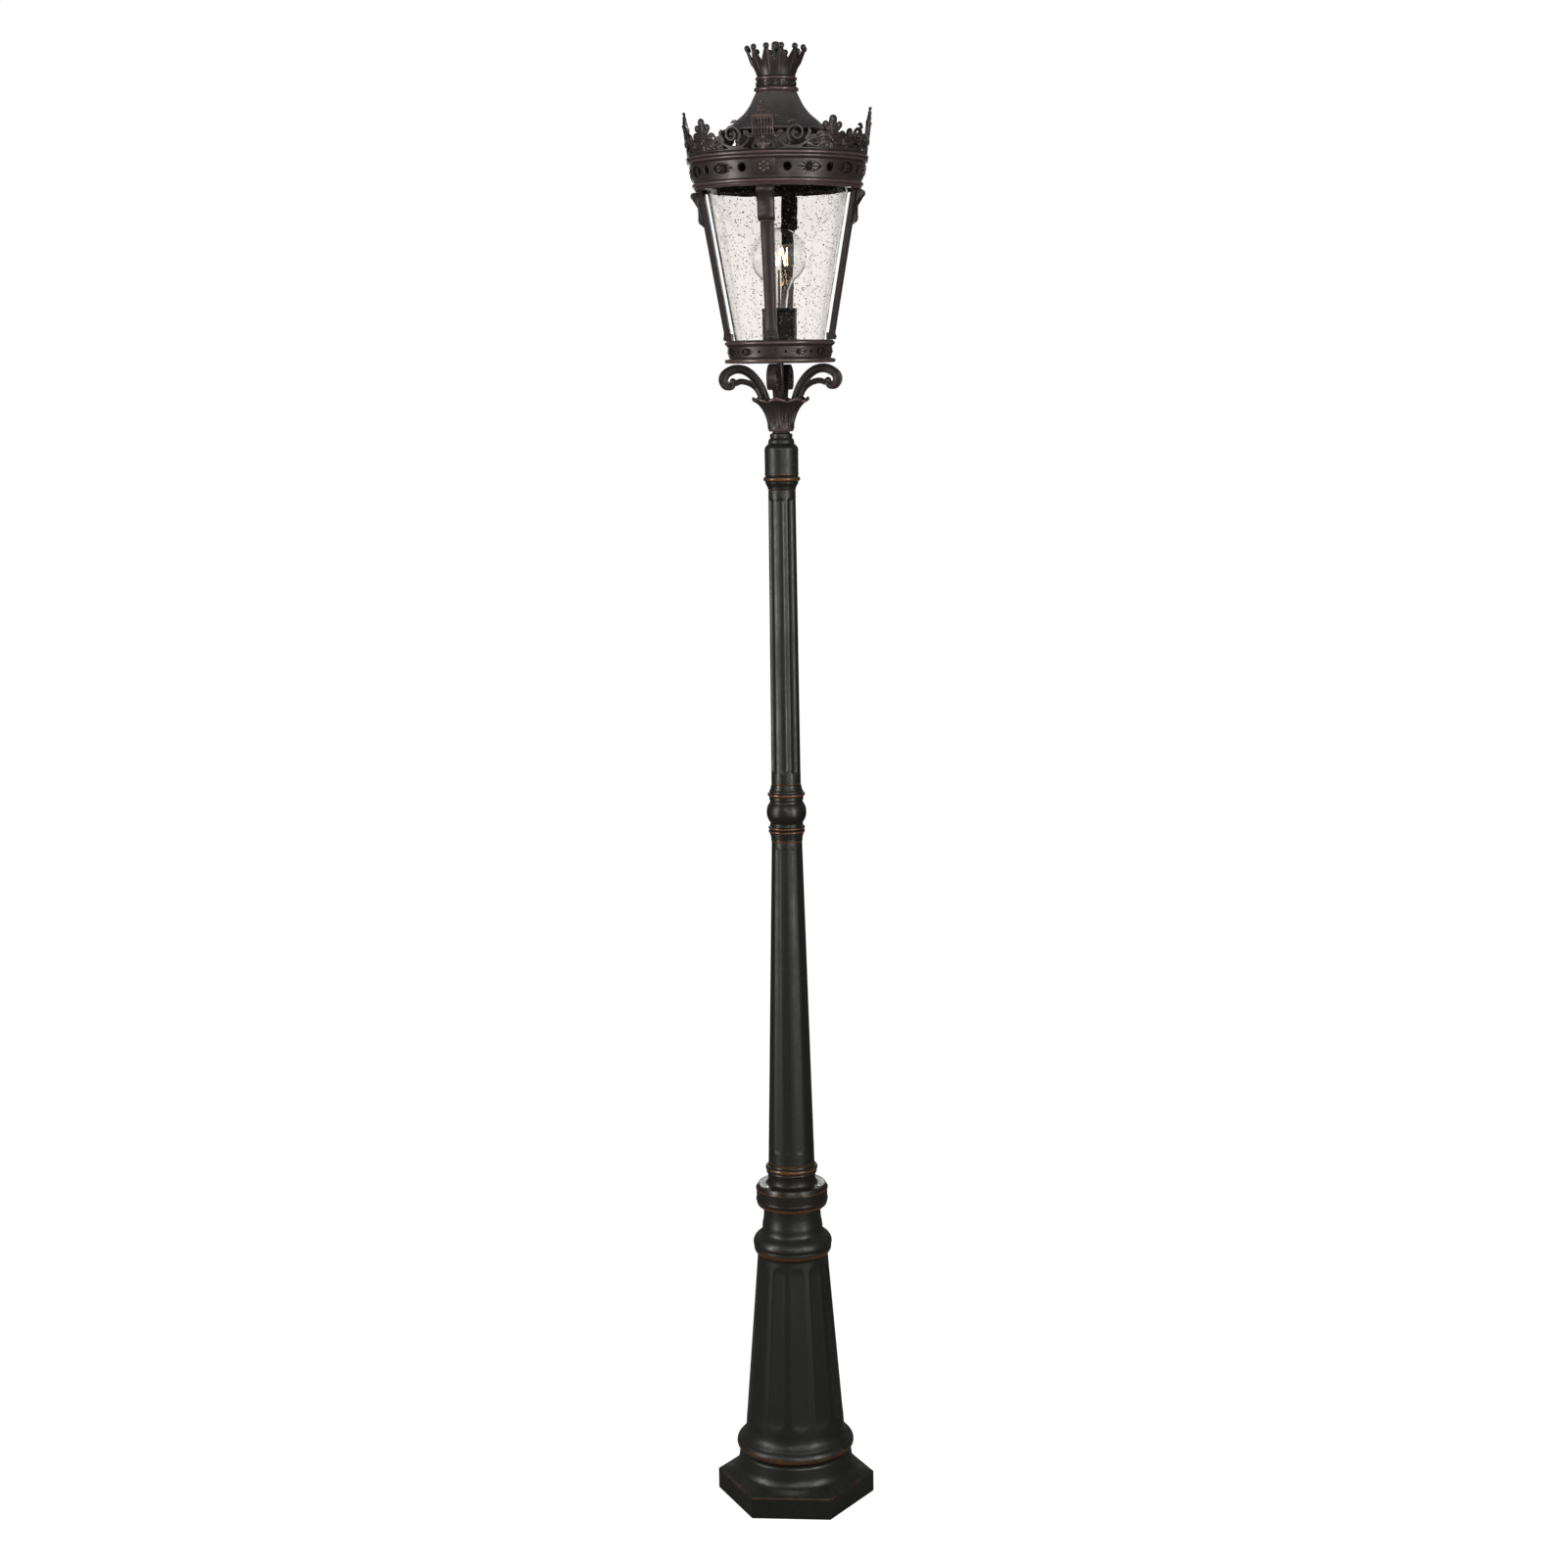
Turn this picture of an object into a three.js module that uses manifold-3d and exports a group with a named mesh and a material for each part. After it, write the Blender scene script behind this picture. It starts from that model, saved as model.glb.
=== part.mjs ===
// Post-mounted street lantern: a cast pedestal on a six-sided foot, a tapered two-part post with a turned knop,
// and a crowned four-arm lantern with a conical glass shade and a globe lamp.
// Millimetres, +Z up. The origin is on the ground under the middle of the post; the arms stand on +-X and +-Y.
import * as THREE from 'three';
import { mergeVertices } from 'three/addons/utils/BufferGeometryUtils.js';
import Module from 'manifold-3d';

const wasm = await Module();
wasm.setup();

// Driving dimensions
const gap = 0.3;
const footRadius = 188.6;
const footTurn = 4;
const footEdge = 54;
const footTop = 66;
const footShoulder = 36;
const footBore = 126;
const pedestalTop = 724.5;
const flangeTop = 780;
const collarTop = 829.5;
const knopBottom = 1607.3;
const knopTop = 1741.7;
const shaftTop = 2421;
const postRingTop = 2454;
const fitterTop = 2552;
const baseRingBottom = 2706.3;
const baseRingTop = 2756.5;
const corniceBottom = 3086;
const deckTop = 3160;
const roofTop = 3299;
const crownBottom = 3333.3;
const crownTop = 3398;
const nutTop = 3410;
const armLean = 0.1723;
const armFootRadius = 123.2;
const armDepth = 13;
const armFootWidth = 24;
const armTopWidth = 32;
const glassFootRadius = 101;
const glassWall = 3;
const crestRadius = 200;
const crestLean = 0.13;
const crestThickness = 6;
const lampRadius = 63.5;
const lampCentre = 2943;
const tineCount = 12;
const tineTurn = -10.5;
const doorHalfAngle = 24;
const doorBottom = 300;
const doorTop = 460;
const coneFootRadius = 108.4;
const coneTopRadius = 95.5;
const pedestalWall = 8;

// Finishes
const finishes = {
  bronze: { color: 0x453b38, roughness: 0.5, metalness: 0.6 },
  roofSlate: { color: 0x4a4443, roughness: 0.45, metalness: 0.6 },
  postGreen: { color: 0x272823, roughness: 0.45, metalness: 0.6 },
  copperRub: { color: 0x3a2c22, roughness: 0.4, metalness: 0.7 },
  glass: { color: 0xf3ece8, roughness: 0.05, metalness: 0, opacity: 0.35, transparent: true },
  lampMetal: { color: 0xb9b2a6, roughness: 0.3, metalness: 1 },
  blackEnamel: { color: 0x1d1a19, roughness: 0.5, metalness: 0.2 },
  zinc: { color: 0x9a9c9d, roughness: 0.4, metalness: 1 },
  ceramic: { color: 0xe8e2d8, roughness: 0.4, metalness: 0 },
  cableSheath: { color: 0x202022, roughness: 0.6, metalness: 0 },
  insulator: { color: 0xd8d4c8, roughness: 0.5, metalness: 0 },
  filament: { color: 0xffc980, roughness: 0.4, metalness: 0.5 }
};

const object = new THREE.Group();
const degrees = Math.PI / 180;

// Shared vertices only, no zero-area triangles, faces pointing out
function closed(geometry) {
  const bare = geometry.clone();
  bare.deleteAttribute('normal');
  bare.deleteAttribute('uv');
  const merged = mergeVertices(bare.index ? bare.toNonIndexed() : bare, 1e-3);
  const index = merged.index.array;
  const kept = [];
  for (let i = 0; i < index.length; i += 3) {
    const [a, b, c] = [index[i], index[i + 1], index[i + 2]];
    if (a !== b && b !== c && c !== a) kept.push(a, b, c);
  }
  const at = (i) => new THREE.Vector3().fromBufferAttribute(merged.attributes.position, i);
  let volume = 0;
  for (let i = 0; i < kept.length; i += 3) {
    volume += at(kept[i]).dot(at(kept[i + 1]).cross(at(kept[i + 2])));
  }
  if (volume < 0) kept.reverse();
  merged.setIndex(kept);
  return merged;
}

function toManifold(geometry) {
  const merged = closed(geometry);
  const vertProperties = new Float32Array(merged.attributes.position.array);
  const triVerts = new Uint32Array(merged.index.array);
  return new wasm.Manifold(new wasm.Mesh({ numProp: 3, vertProperties, triVerts }));
}

function fromManifold(manifold) {
  const mesh = manifold.getMesh();
  const geometry = new THREE.BufferGeometry();
  geometry.setAttribute('position', new THREE.BufferAttribute(new Float32Array(mesh.vertProperties), 3));
  geometry.setIndex(new THREE.BufferAttribute(new Uint32Array(mesh.triVerts), 1));
  return geometry;
}

function joined(...geometries) {
  return fromManifold(geometries.map(toManifold).reduce((whole, piece) => whole.add(piece)));
}

function cut(geometry, ...tools) {
  return fromManifold(tools.map(toManifold).reduce((rest, tool) => rest.subtract(tool), toManifold(geometry)));
}

function place(name, geometry, finish) {
  const whole = closed(geometry);
  whole.computeVertexNormals();
  const mesh = new THREE.Mesh(whole, new THREE.MeshStandardMaterial(finishes[finish]));
  mesh.name = name;
  object.add(mesh);
}

// A turned piece: the profile is a list of [radius, height], and it closes on itself or on the axis
function turned(profile, segments = 16) {
  const points = profile.map(([r, z]) => new THREE.Vector2(r, z));
  const onAxis = profile[0][0] === 0 && profile[profile.length - 1][0] === 0;
  if (!onAxis) points.push(points[0].clone());
  const geometry = new THREE.LatheGeometry(points, segments);
  return geometry.rotateX(Math.PI / 2);
}

function rod(radius, bottom, top, x = 0, y = 0, sides = 12) {
  const geometry = new THREE.CylinderGeometry(radius, radius, top - bottom, sides);
  return geometry.rotateX(Math.PI / 2).translate(x, y, (top + bottom) / 2);
}

function block(x0, x1, y0, y1, z0, z1) {
  const geometry = new THREE.BoxGeometry(x1 - x0, y1 - y0, z1 - z0);
  return geometry.translate((x0 + x1) / 2, (y0 + y1) / 2, (z0 + z1) / 2);
}

// An outline in the plane of radius and height, made `width` wide across the +X direction
function radialPlate(shape, width) {
  const geometry = new THREE.ExtrudeGeometry(shape, { depth: width, bevelEnabled: false, curveSegments: 6 });
  return geometry.translate(0, 0, -width / 2).rotateX(Math.PI / 2);
}

function outline(points) {
  return new THREE.Shape(points.map(([u, v]) => new THREE.Vector2(u, v)));
}

function turn(geometry, angle) {
  return geometry.clone().rotateZ(angle * degrees);
}

function around(count, first, make) {
  return Array.from({ length: count }, (_, i) => make(first + (i * 360) / count, i));
}

const sides = [['right', 0], ['back', 90], ['left', 180], ['front', 270]];

// Pedestal: hollow casting with a six-sided foot, three anchor lugs and a hand hole at the back
function coneRadius(z) {
  const slope = (coneTopRadius - coneFootRadius) / (doorTop - doorBottom);
  return coneFootRadius + slope * (z - doorBottom);
}

function coneSector(halfAngle, bottom, top, inner, outer) {
  const profile = [
    [coneRadius(bottom) - inner, bottom], [coneRadius(bottom) + outer, bottom],
    [coneRadius(top) + outer, top], [coneRadius(top) - inner, top]
  ];
  const wedge = [];
  const steps = 8;
  for (let i = 0; i < steps; i++) {
    const a = (90 - halfAngle + (i * 2 * halfAngle) / steps) * degrees;
    const b = (90 - halfAngle + ((i + 1) * 2 * halfAngle) / steps) * degrees;
    const ring = (angle) => profile.map(([r, z]) => [r * Math.cos(angle), r * Math.sin(angle), z]);
    const [p, q] = [ring(a), ring(b)];
    for (let k = 0; k < 4; k++) {
      const n = (k + 1) % 4;
      wedge.push(...p[k], ...q[k], ...q[n], ...p[k], ...q[n], ...p[n]);
    }
    if (i === 0) wedge.push(...p[0], ...p[1], ...p[2], ...p[0], ...p[2], ...p[3]);
    if (i === steps - 1) wedge.push(...q[0], ...q[2], ...q[1], ...q[0], ...q[3], ...q[2]);
  }
  const geometry = new THREE.BufferGeometry();
  geometry.setAttribute('position', new THREE.BufferAttribute(new Float32Array(wedge), 3));
  return geometry;
}

function hexFoot() {
  const edge = new THREE.CylinderGeometry(footRadius, footRadius, footEdge, 6);
  const slope = new THREE.CylinderGeometry(footRadius - footShoulder, footRadius - 1, footTop - footEdge, 6);
  const stack = joined(
    edge.rotateX(Math.PI / 2).translate(0, 0, footEdge / 2),
    slope.rotateX(Math.PI / 2).translate(0, 0, (footTop + footEdge) / 2)
  );
  return cut(turn(stack, footTurn + 30), rod(footBore, -1, footTop + 1, 0, 0, 20));
}

function pedestal() {
  const shell = turned([
    [148, 20], [148, 65], [143, 71], [138, 82], [136, 96], [134, 112], [138.5, 120], [141, 134],
    [138.5, 148], [130, 156], [122, 162], [118, 174], [117.4, 188], [coneFootRadius, doorBottom],
    [coneTopRadius, doorTop], [83.7, 606], [88, 613], [92.4, 624], [93.2, 636], [90, 650],
    [80, 657], [72, 664], [71.6, 679], [68, 700], [68, pedestalTop], [60, pedestalTop], [60, 668],
    [76, 642], [75.7, 606], [coneTopRadius - pedestalWall, doorTop], [coneFootRadius - pedestalWall, doorBottom],
    [108, 188], [footBore, 135], [footBore, 20]
  ], 20);
  const lugs = around(3, 90, (angle) => turn(block(84, 132, -20, 20, 0, 12), angle));
  const holes = around(3, 90, (angle) => turn(rod(9.5, -1, 13, 102, 0), angle));
  const handHole = coneSector(doorHalfAngle, doorBottom, doorTop, 20, 20);
  return cut(joined(shell, hexFoot(), ...lugs), ...holes, handHole);
}
place('pedestal', pedestal(), 'postGreen');

around(3, 90, (angle, i) => {
  const nut = new THREE.CylinderGeometry(15, 15, 13, 6).rotateX(Math.PI / 2).translate(102, 0, 22);
  const bolt = joined(rod(8, gap, 52, 102, 0), rod(17, 12 + gap, 16, 102, 0, 16), nut);
  place(`anchor_bolt_${i + 1}`, turn(bolt, angle), 'zinc');
});

// Door: a piece of the cone between two radial planes, on a hinge along its left edge
const doorClearance = 1;
const doorAngle = doorHalfAngle - doorClearance;
const doorWall = 5;
const doorMiddle = (doorBottom + doorTop) / 2;
const lockRadius = coneRadius(doorMiddle);
const coneTilt = Math.atan2(coneFootRadius - coneTopRadius, doorTop - doorBottom);

function lockPiece(geometry) {
  return geometry.rotateX(-Math.PI / 2 + coneTilt).translate(0, lockRadius, doorMiddle);
}

const doorPanel = coneSector(doorAngle, doorBottom + 2, doorTop - 2, doorWall, 0);
const lockHole = lockPiece(rod(8.6, -12, 8, 0, 0, 16));
place('service_door', cut(doorPanel, lockHole), 'postGreen');
const lockBody = joined(rod(8, -8, 1.5, 0, 0, 16), rod(11, 1.5, 5, 0, 0, 16), block(-7, 7, -7, 20, -11, -8));
place('door_lock', lockPiece(lockBody), 'zinc');

// Equipment behind the door, on a board that wedges across the casting
const boardY = -34;
const boardThickness = 4;
const boardLow = 318;
const boardHigh = 458;
const boardHalf = (z) => Math.sqrt((coneRadius(z) - pedestalWall) ** 2 - (boardY - boardThickness) ** 2) - 3;
const boardShape = outline([
  [-boardHalf(boardLow), boardLow], [boardHalf(boardLow), boardLow],
  [boardHalf(boardHigh), boardHigh], [-boardHalf(boardHigh), boardHigh]
]);
const board = new THREE.ExtrudeGeometry(boardShape, { depth: boardThickness, bevelEnabled: false });
place('equipment_board', board.rotateX(Math.PI / 2).translate(0, boardY, 0), 'insulator');
const terminalRidge = [-28, -14, 0, 14, 28];
place('terminal_block', joined(
  block(-36, 36, boardY + gap, boardY + 24, 392, 420),
  ...terminalRidge.map((x) => block(x - 1.2, x + 1.2, boardY + 20, boardY + 30, 394, 418))
), 'insulator');
place('fuse_carrier', joined(
  block(-15, 15, boardY + gap, boardY + 30, 326, 384),
  block(-9, 9, boardY + 29, boardY + 38, 338, 372)
), 'blackEnamel');

// Cable inside the post, from the terminal block up the axis to the lampholder
const cableRadius = 4;
const cablePath = new THREE.CatmullRomCurve3([
  new THREE.Vector3(0, boardY + 12, 420 + gap), new THREE.Vector3(0, boardY + 12, 450),
  new THREE.Vector3(0, -14, 540), new THREE.Vector3(0, -3, 640), new THREE.Vector3(0, 0, 760),
  new THREE.Vector3(0, 0, 1300), new THREE.Vector3(0, 0, 2000), new THREE.Vector3(0, 0, 2731)
]);
const cableSection = new THREE.Shape().absarc(0, 0, cableRadius, 0, 2 * Math.PI);
const cable = new THREE.ExtrudeGeometry(cableSection, { steps: 30, extrudePath: cablePath, curveSegments: 4 });
place('supply_cable', cable, 'cableSheath');

// Post
const screwCircle = 71;
const screwAngles = [102, 222, 342];
const flangeBody = turned([
  [80, pedestalTop + gap], [83.5, 731], [85.5, 742], [85.5, 763], [83.5, 775], [80, flangeTop],
  [60, flangeTop], [57, 788], [57, 803], [59, 808], [63, 813], [63, 822], [60, 827], [56, collarTop],
  [47.2, collarTop], [47.2, 872], [40, 872], [40, 704], [58.6, 704], [58.6, pedestalTop + gap]
]);
const flangeHoles = screwAngles.map((angle) => turn(rod(3.4, 742, flangeTop + 4, screwCircle), angle));
place('shaft_flange', cut(flangeBody, ...flangeHoles), 'postGreen');
screwAngles.forEach((angle, i) => {
  const screw = joined(rod(3, 744, flangeTop + 1, screwCircle), rod(5.5, flangeTop + gap, flangeTop + 5, screwCircle));
  place(`flange_screw_${i + 1}`, turn(screw, angle), 'copperRub');
});

place('lower_shaft', turned([
  [55.2, collarTop + gap], [48.7, 1083], [41.5, 1368], [35.5, knopBottom - gap], [29.5, knopBottom - gap],
  [35.5, 1368], [42.7, 1083], [49.2, collarTop + gap]
]), 'postGreen');

place('shaft_knop', turned([
  [36.6, knopBottom], [36.6, 1619], [39, 1624], [43.4, 1630], [43.4, 1641], [39, 1646], [38.3, 1650],
  [42.5, 1658], [45.8, 1668], [46.2, 1676], [45.3, 1685], [42, 1694], [38.8, 1702], [38.8, 1707],
  [43.3, 1713], [43.3, 1724], [39, 1729], [36, 1734], [35, knopTop], [29.6, knopTop], [29.6, 1785],
  [24, 1785], [24, 1565], [28.9, 1565], [28.9, knopBottom]
]), 'copperRub');

place('upper_shaft', turned([
  [34.2, knopTop + gap], [31.3, shaftTop], [27.3, shaftTop], [30.2, knopTop + gap]
]), 'postGreen');

const tenonRadius = 34;
place('post_top', turned([
  [31.4, shaftTop + gap], [33, 2428], [36, 2433], [37, 2438], [42, 2442], [42.5, 2448], [41, postRingTop],
  [tenonRadius, postRingTop], [tenonRadius, 2512], [20, 2512], [20, 2385], [26.8, 2385], [26.8, shaftTop + gap]
]), 'copperRub');

// Fitter: the socket that the lantern stands on the post with, and its three grub screws
const fitterBore = tenonRadius + 1.2;
const grubHeight = 2478;
const grubScrew = new THREE.CylinderGeometry(3, 3, 5.4, 12).rotateZ(Math.PI / 2).translate(37.4, 0, grubHeight);
const grubHole = new THREE.CylinderGeometry(3.3, 3.3, 9, 12).rotateZ(Math.PI / 2).translate(37.5, 0, grubHeight);
const grubAngles = [90, 210, 330];
const fitterBody = turned([
  [38.8, postRingTop + gap], [39, 2512], [37, 2520], [30, 2530], [28.5, 2535], [25.8, 2540], [25.2, 2547],
  [20, 2549], [20, fitterTop], [9, fitterTop], [9, 2522], [fitterBore, 2516], [fitterBore, postRingTop + gap]
]);
place('post_fitter', cut(fitterBody, ...grubAngles.map((angle) => turn(grubHole, angle))), 'postGreen');
grubAngles.forEach((angle, i) => place(`fitter_screw_${i + 1}`, turn(grubScrew, angle), 'blackEnamel'));

// Leaf cup, stem and the four scroll brackets under the lantern
place('leaf_cup', turned([
  [20, fitterTop + gap], [28.5, 2556], [30, 2560], [30.5, 2571], [34, 2583], [39, 2596], [46, 2608],
  [54, 2617], [63, 2624], [65.3, 2628.5], [61, 2630], [52, 2622], [42, 2610], [34, 2597], [29, 2584],
  [27, 2574], [9, 2574], [9, fitterTop + gap]
]), 'bronze');
place('stem_tube', turned([[8, 2523], [8, 2731], [5.2, 2731], [5.2, 2523]], 16), 'bronze');

const scrollWidth = 23;
const scrollOutline = new THREE.Shape();
scrollOutline.moveTo(14, 2585);
scrollOutline.lineTo(24, 2585);
scrollOutline.quadraticCurveTo(32, 2604, 46, 2627);
scrollOutline.quadraticCurveTo(52, 2650, 66, 2655);
scrollOutline.quadraticCurveTo(80, 2662, 94, 2655);
scrollOutline.quadraticCurveTo(103, 2645, 115, 2645.5);
scrollOutline.bezierCurveTo(132, 2647, 141, 2660, 141, 2674);
scrollOutline.bezierCurveTo(140, 2692, 120, 2702, 98, 2703);
scrollOutline.bezierCurveTo(74, 2703, 52, 2686, 43, 2667);
scrollOutline.quadraticCurveTo(32, 2640, 27, 2625);
scrollOutline.quadraticCurveTo(22, 2605, 14, 2585);
const scrollEye = new THREE.Path();
scrollEye.moveTo(72, 2671.5);
scrollEye.bezierCurveTo(84, 2686, 110, 2690, 118, 2674);
scrollEye.quadraticCurveTo(121, 2663, 113, 2660);
scrollEye.quadraticCurveTo(118, 2672, 108, 2675);
scrollEye.quadraticCurveTo(101, 2674, 100, 2668);
scrollEye.quadraticCurveTo(86, 2673, 72, 2671.5);
scrollOutline.holes.push(scrollEye);
sides.forEach(([side, angle]) => {
  place(`scroll_${side}`, turn(radialPlate(scrollOutline, scrollWidth), angle), 'bronze');
});

// Base ring and the floor of the lamp chamber
place('base_ring', turned([
  [124, baseRingBottom], [125.5, 2709], [124.5, 2714], [118, 2717], [115.5, 2721], [117.5, 2738], [121, 2742],
  [125, 2746], [125, 2753], [122, baseRingTop], [104, baseRingTop], [104, 2710.7], [100, 2710.7],
  [100, baseRingBottom]
], 20), 'bronze');
place('floor_plate', turned([[103.4, 2711], [103.4, 2715], [9, 2715], [9, 2711]], 20), 'bronze');
const stemNut = new THREE.CylinderGeometry(14, 14, 8, 6).rotateX(Math.PI / 2).translate(0, 0, 2719.5);
place('stem_nut', cut(stemNut, rod(8.4, 2710, 2730, 0, 0, 16)), 'lampMetal');

// Lampholder and lamp
place('lampholder_cover', turned([
  [40, 2715.3], [40, 2826], [38.5, 2828], [36.5, 2828], [36.5, 2715.3]
]), 'blackEnamel');
place('lampholder', turned([
  [0, 2731.4], [20, 2731.4], [21, 2740], [21, 2788], [19, 2792], [15, 2792], [15, 2750], [0, 2750]
], 20), 'ceramic');
const capTop = 2782;
place('lamp_cap', turned([
  [0, 2751], [4, 2751], [5, 2754], [12, 2757], [12, 2761], [13, 2763], [12, 2765], [13, 2768], [12, 2771],
  [13, 2774], [13, capTop], [0, capTop]
], 16), 'lampMetal');

function lampProfile(inset) {
  const radius = lampRadius - inset;
  const globe = [-60, -36, -12, 12, 36, 60].map((angle) => [
    radius * Math.cos(angle * degrees), lampCentre + radius * Math.sin(angle * degrees)
  ]);
  return [[13 - inset, capTop + gap], [16 - inset, 2800], [18 - inset, 2850], [23 - inset, 2874], ...globe,
    [0, lampCentre + radius]];
}
place('lamp_glass', turned([...lampProfile(0), ...lampProfile(1.5).reverse()], 16), 'glass');
const filamentRing = new THREE.TorusGeometry(11, 1.6, 5, 10).translate(0, 0, 2936);
const filamentStem = turned([[0, capTop + gap], [8, capTop + gap], [4, 2810], [3, 2880], [2, 2926], [0, 2926]], 8);
const filamentBar = block(-12, 12, -1, 1, 2924, 2937);
place('lamp_filament', joined(filamentRing, filamentStem, filamentBar), 'filament');

// Glass shade: an open cone that stands on the floor plate
const glassRadius = (z) => glassFootRadius + armLean * (z - baseRingTop);
const [glassBottom, glassTop] = [2715.4, 3092];
place('glass_shade', turned([
  [glassRadius(glassBottom), glassBottom], [glassRadius(glassTop), glassTop],
  [glassRadius(glassTop) - glassWall, glassTop], [glassRadius(glassBottom) - glassWall, glassBottom]
], 36), 'glass');

// Arms, with a foot boss each, and the console bracket at each head
const armRadius = (z) => armFootRadius + armLean * (z - baseRingTop);
const [armBottom, armTop] = [baseRingTop + gap, corniceBottom - gap];

function armBar() {
  const bar = new THREE.BoxGeometry(1, 1, 1);
  const position = bar.attributes.position;
  for (let i = 0; i < position.count; i++) {
    const high = position.getZ(i) > 0;
    const z = high ? armTop : armBottom;
    const width = high ? armTopWidth : armFootWidth;
    const x = armRadius(z) - (position.getX(i) > 0 ? 0 : armDepth);
    position.setXYZ(i, x, position.getY(i) * width, z);
  }
  return bar;
}
const armPiece = joined(armBar(), block(108, 126, -14, 14, armBottom, 2772));

const consoleSteps = [
  [3011, 1.5], [3016, 8], [3026, 9.5], [3036, 6], [3047, 5], [3057, 6.5], [3067, 11.5], [3073, 16.5],
  [3079, 17], [3084, 12]
];
const consoleShape = outline([
  ...consoleSteps.map(([z, proud]) => [armRadius(z) + proud, z]),
  [armRadius(armTop) + 8, armTop], [armRadius(armTop) + gap, armTop], [armRadius(3011) + gap, 3011]
]);
sides.forEach(([side, angle]) => {
  place(`arm_${side}`, turn(armPiece, angle), 'bronze');
  place(`arm_console_${side}`, turn(radialPlate(consoleShape, 38), angle), 'bronze');
});

// Cornice ring with its deck
place('cornice_ring', turned([
  [172, corniceBottom], [186, corniceBottom], [191, 3090], [192, 3097], [189, 3103], [189.5, 3108],
  [195.5, 3141], [201, 3143], [204, 3147], [201.5, 3150.5], [205, 3154], [204.5, 3158], [203, deckTop],
  [84, deckTop], [84, 3155], [188, 3155], [184, 3108], [172, 3100]
], 24), 'bronze');

// Crest: a badge over each arm and a pierced panel between badges, all leaning out
function leanOut(geometry) {
  const position = geometry.attributes.position;
  for (let i = 0; i < position.count; i++) {
    const height = position.getY(i);
    const radius = crestRadius + crestLean * height + position.getZ(i) - crestThickness / 2;
    position.setXYZ(i, radius, position.getX(i), deckTop + gap + height);
  }
  return geometry;
}

function wrapRound(geometry) {
  const position = geometry.attributes.position;
  for (let i = 0; i < position.count; i++) {
    const height = position.getY(i);
    const angle = position.getX(i) / crestRadius;
    const radius = crestRadius + crestLean * height + position.getZ(i) - crestThickness / 2;
    position.setXYZ(i, radius * Math.cos(angle), radius * Math.sin(angle), deckTop + gap + height);
  }
  return geometry;
}

function mirrored(points) {
  return [...points, ...points.slice().reverse().filter(([u]) => u > 0).map(([u, v]) => [-u, v])];
}

function ballOutline(u, v, radius, count = 6) {
  return Array.from({ length: count }, (_, i) => {
    const angle = (-60 + (i * 240) / (count - 1)) * degrees;
    return [u + radius * Math.cos(angle), v + radius * Math.sin(angle)];
  });
}

const badgeShape = outline(mirrored([
  [16, 0], [16, 8], [26, 12], [26, 58], [31, 60], [31, 66], ...ballOutline(29, 71, 5), [14, 69], [14, 80],
  [8, 83], [8, 91], [5, 93], [5, 98], [0, 103]
]));
const panelShape = outline(mirrored([
  [0, 0], [31, 0], [62, 0], [93, 0], [124, 0], [124, 12], [112, 14], ...Array.from({ length: 7 }, (_, i) => {
    const angle = (-40 + i * 40) * degrees;
    return [87 + 24 * Math.cos(angle), 33 + 24 * Math.sin(angle)];
  }), [58, 15], [44, 22], [26, 27], [8, 32], [12, 41], [22, 46], [22, 58], [10, 63], [0, 76]
]));
[-87, 87].forEach((u) => {
  const eye = new THREE.Path();
  eye.absarc(u, 33, 17, 0.2, 5.2, false);
  eye.absarc(u, 33, 8, 5.2, 0.2, true);
  panelShape.holes.push(eye);
});
const plateDepth = { depth: crestThickness, bevelEnabled: false, curveSegments: 5 };
sides.forEach(([side, angle]) => {
  place(`castle_badge_${side}`, turn(leanOut(new THREE.ExtrudeGeometry(badgeShape, plateDepth)), angle), 'bronze');
});
around(4, 45, (angle, i) => {
  place(`crest_panel_${i + 1}`, turn(wrapRound(new THREE.ExtrudeGeometry(panelShape, plateDepth)), angle), 'bronze');
});

// Roof, finial band and crown, which lift off together
place('roof', turned([
  [92, deckTop + gap], [92, 3209], [127, 3210.5], [130, 3213.5], [127, 3216.5], [118, 3219], [105, 3227],
  [91.8, 3238], [80, 3248], [72.1, 3255], [60.1, 3272], [51.3, 3289], [46, roofTop], [7, roofTop],
  [7, 3293], [41, 3293], [47, 3283], [56, 3267], [68, 3250], [82, 3235], [88, 3226], [88, deckTop + gap]
]), 'roofSlate');
place('crown_band', turned([
  [47, roofTop + gap], [50.2, 3305], [49, 3310], [43.6, 3313], [43.6, 3324], [45.8, 3327], [45.8, 3333],
  [7, 3333], [7, 3329], [38, 3329], [38, roofTop + gap]
]), 'bronze');

function crown() {
  const cup = turned([
    [7, crownBottom], [43.6, crownBottom], [46, 3342], [50, 3352], [59, 3373], [66.5, 3395], [62.5, 3396],
    [55, 3374], [46, 3354], [41, 3338], [7, 3338]
  ], 24);
  const notch = outline([[0, 3362], [12, 3410], [-12, 3410]]);
  const notchPiece = new THREE.ExtrudeGeometry(notch, { depth: 60, bevelEnabled: false });
  const notchRadial = notchPiece.rotateX(Math.PI / 2).rotateZ(Math.PI / 2).translate(30, 0, 0);
  const balls = around(tineCount, tineTurn, (angle) => {
    return turn(new THREE.OctahedronGeometry(7, 0).translate(65.5, 0, crownTop), angle);
  });
  const notches = around(tineCount, tineTurn + 180 / tineCount, (angle) => turn(notchRadial, angle));
  return joined(cut(cup, ...notches), ...balls);
}
place('crown', crown(), 'bronze');
place('finial_rod', rod(5, 3285, 3394), 'zinc');
place('finial_nut', turned([
  [5.4, 3338.3], [12, 3338.3], [12, 3350], [8, 3354], [6.8, 3362], [6.8, 3388], [9, 3395], [9, 3402],
  [6, 3408], [0, nutTop], [0, 3396], [5.4, 3396]
], 12), 'blackEnamel');

export default object;
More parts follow.
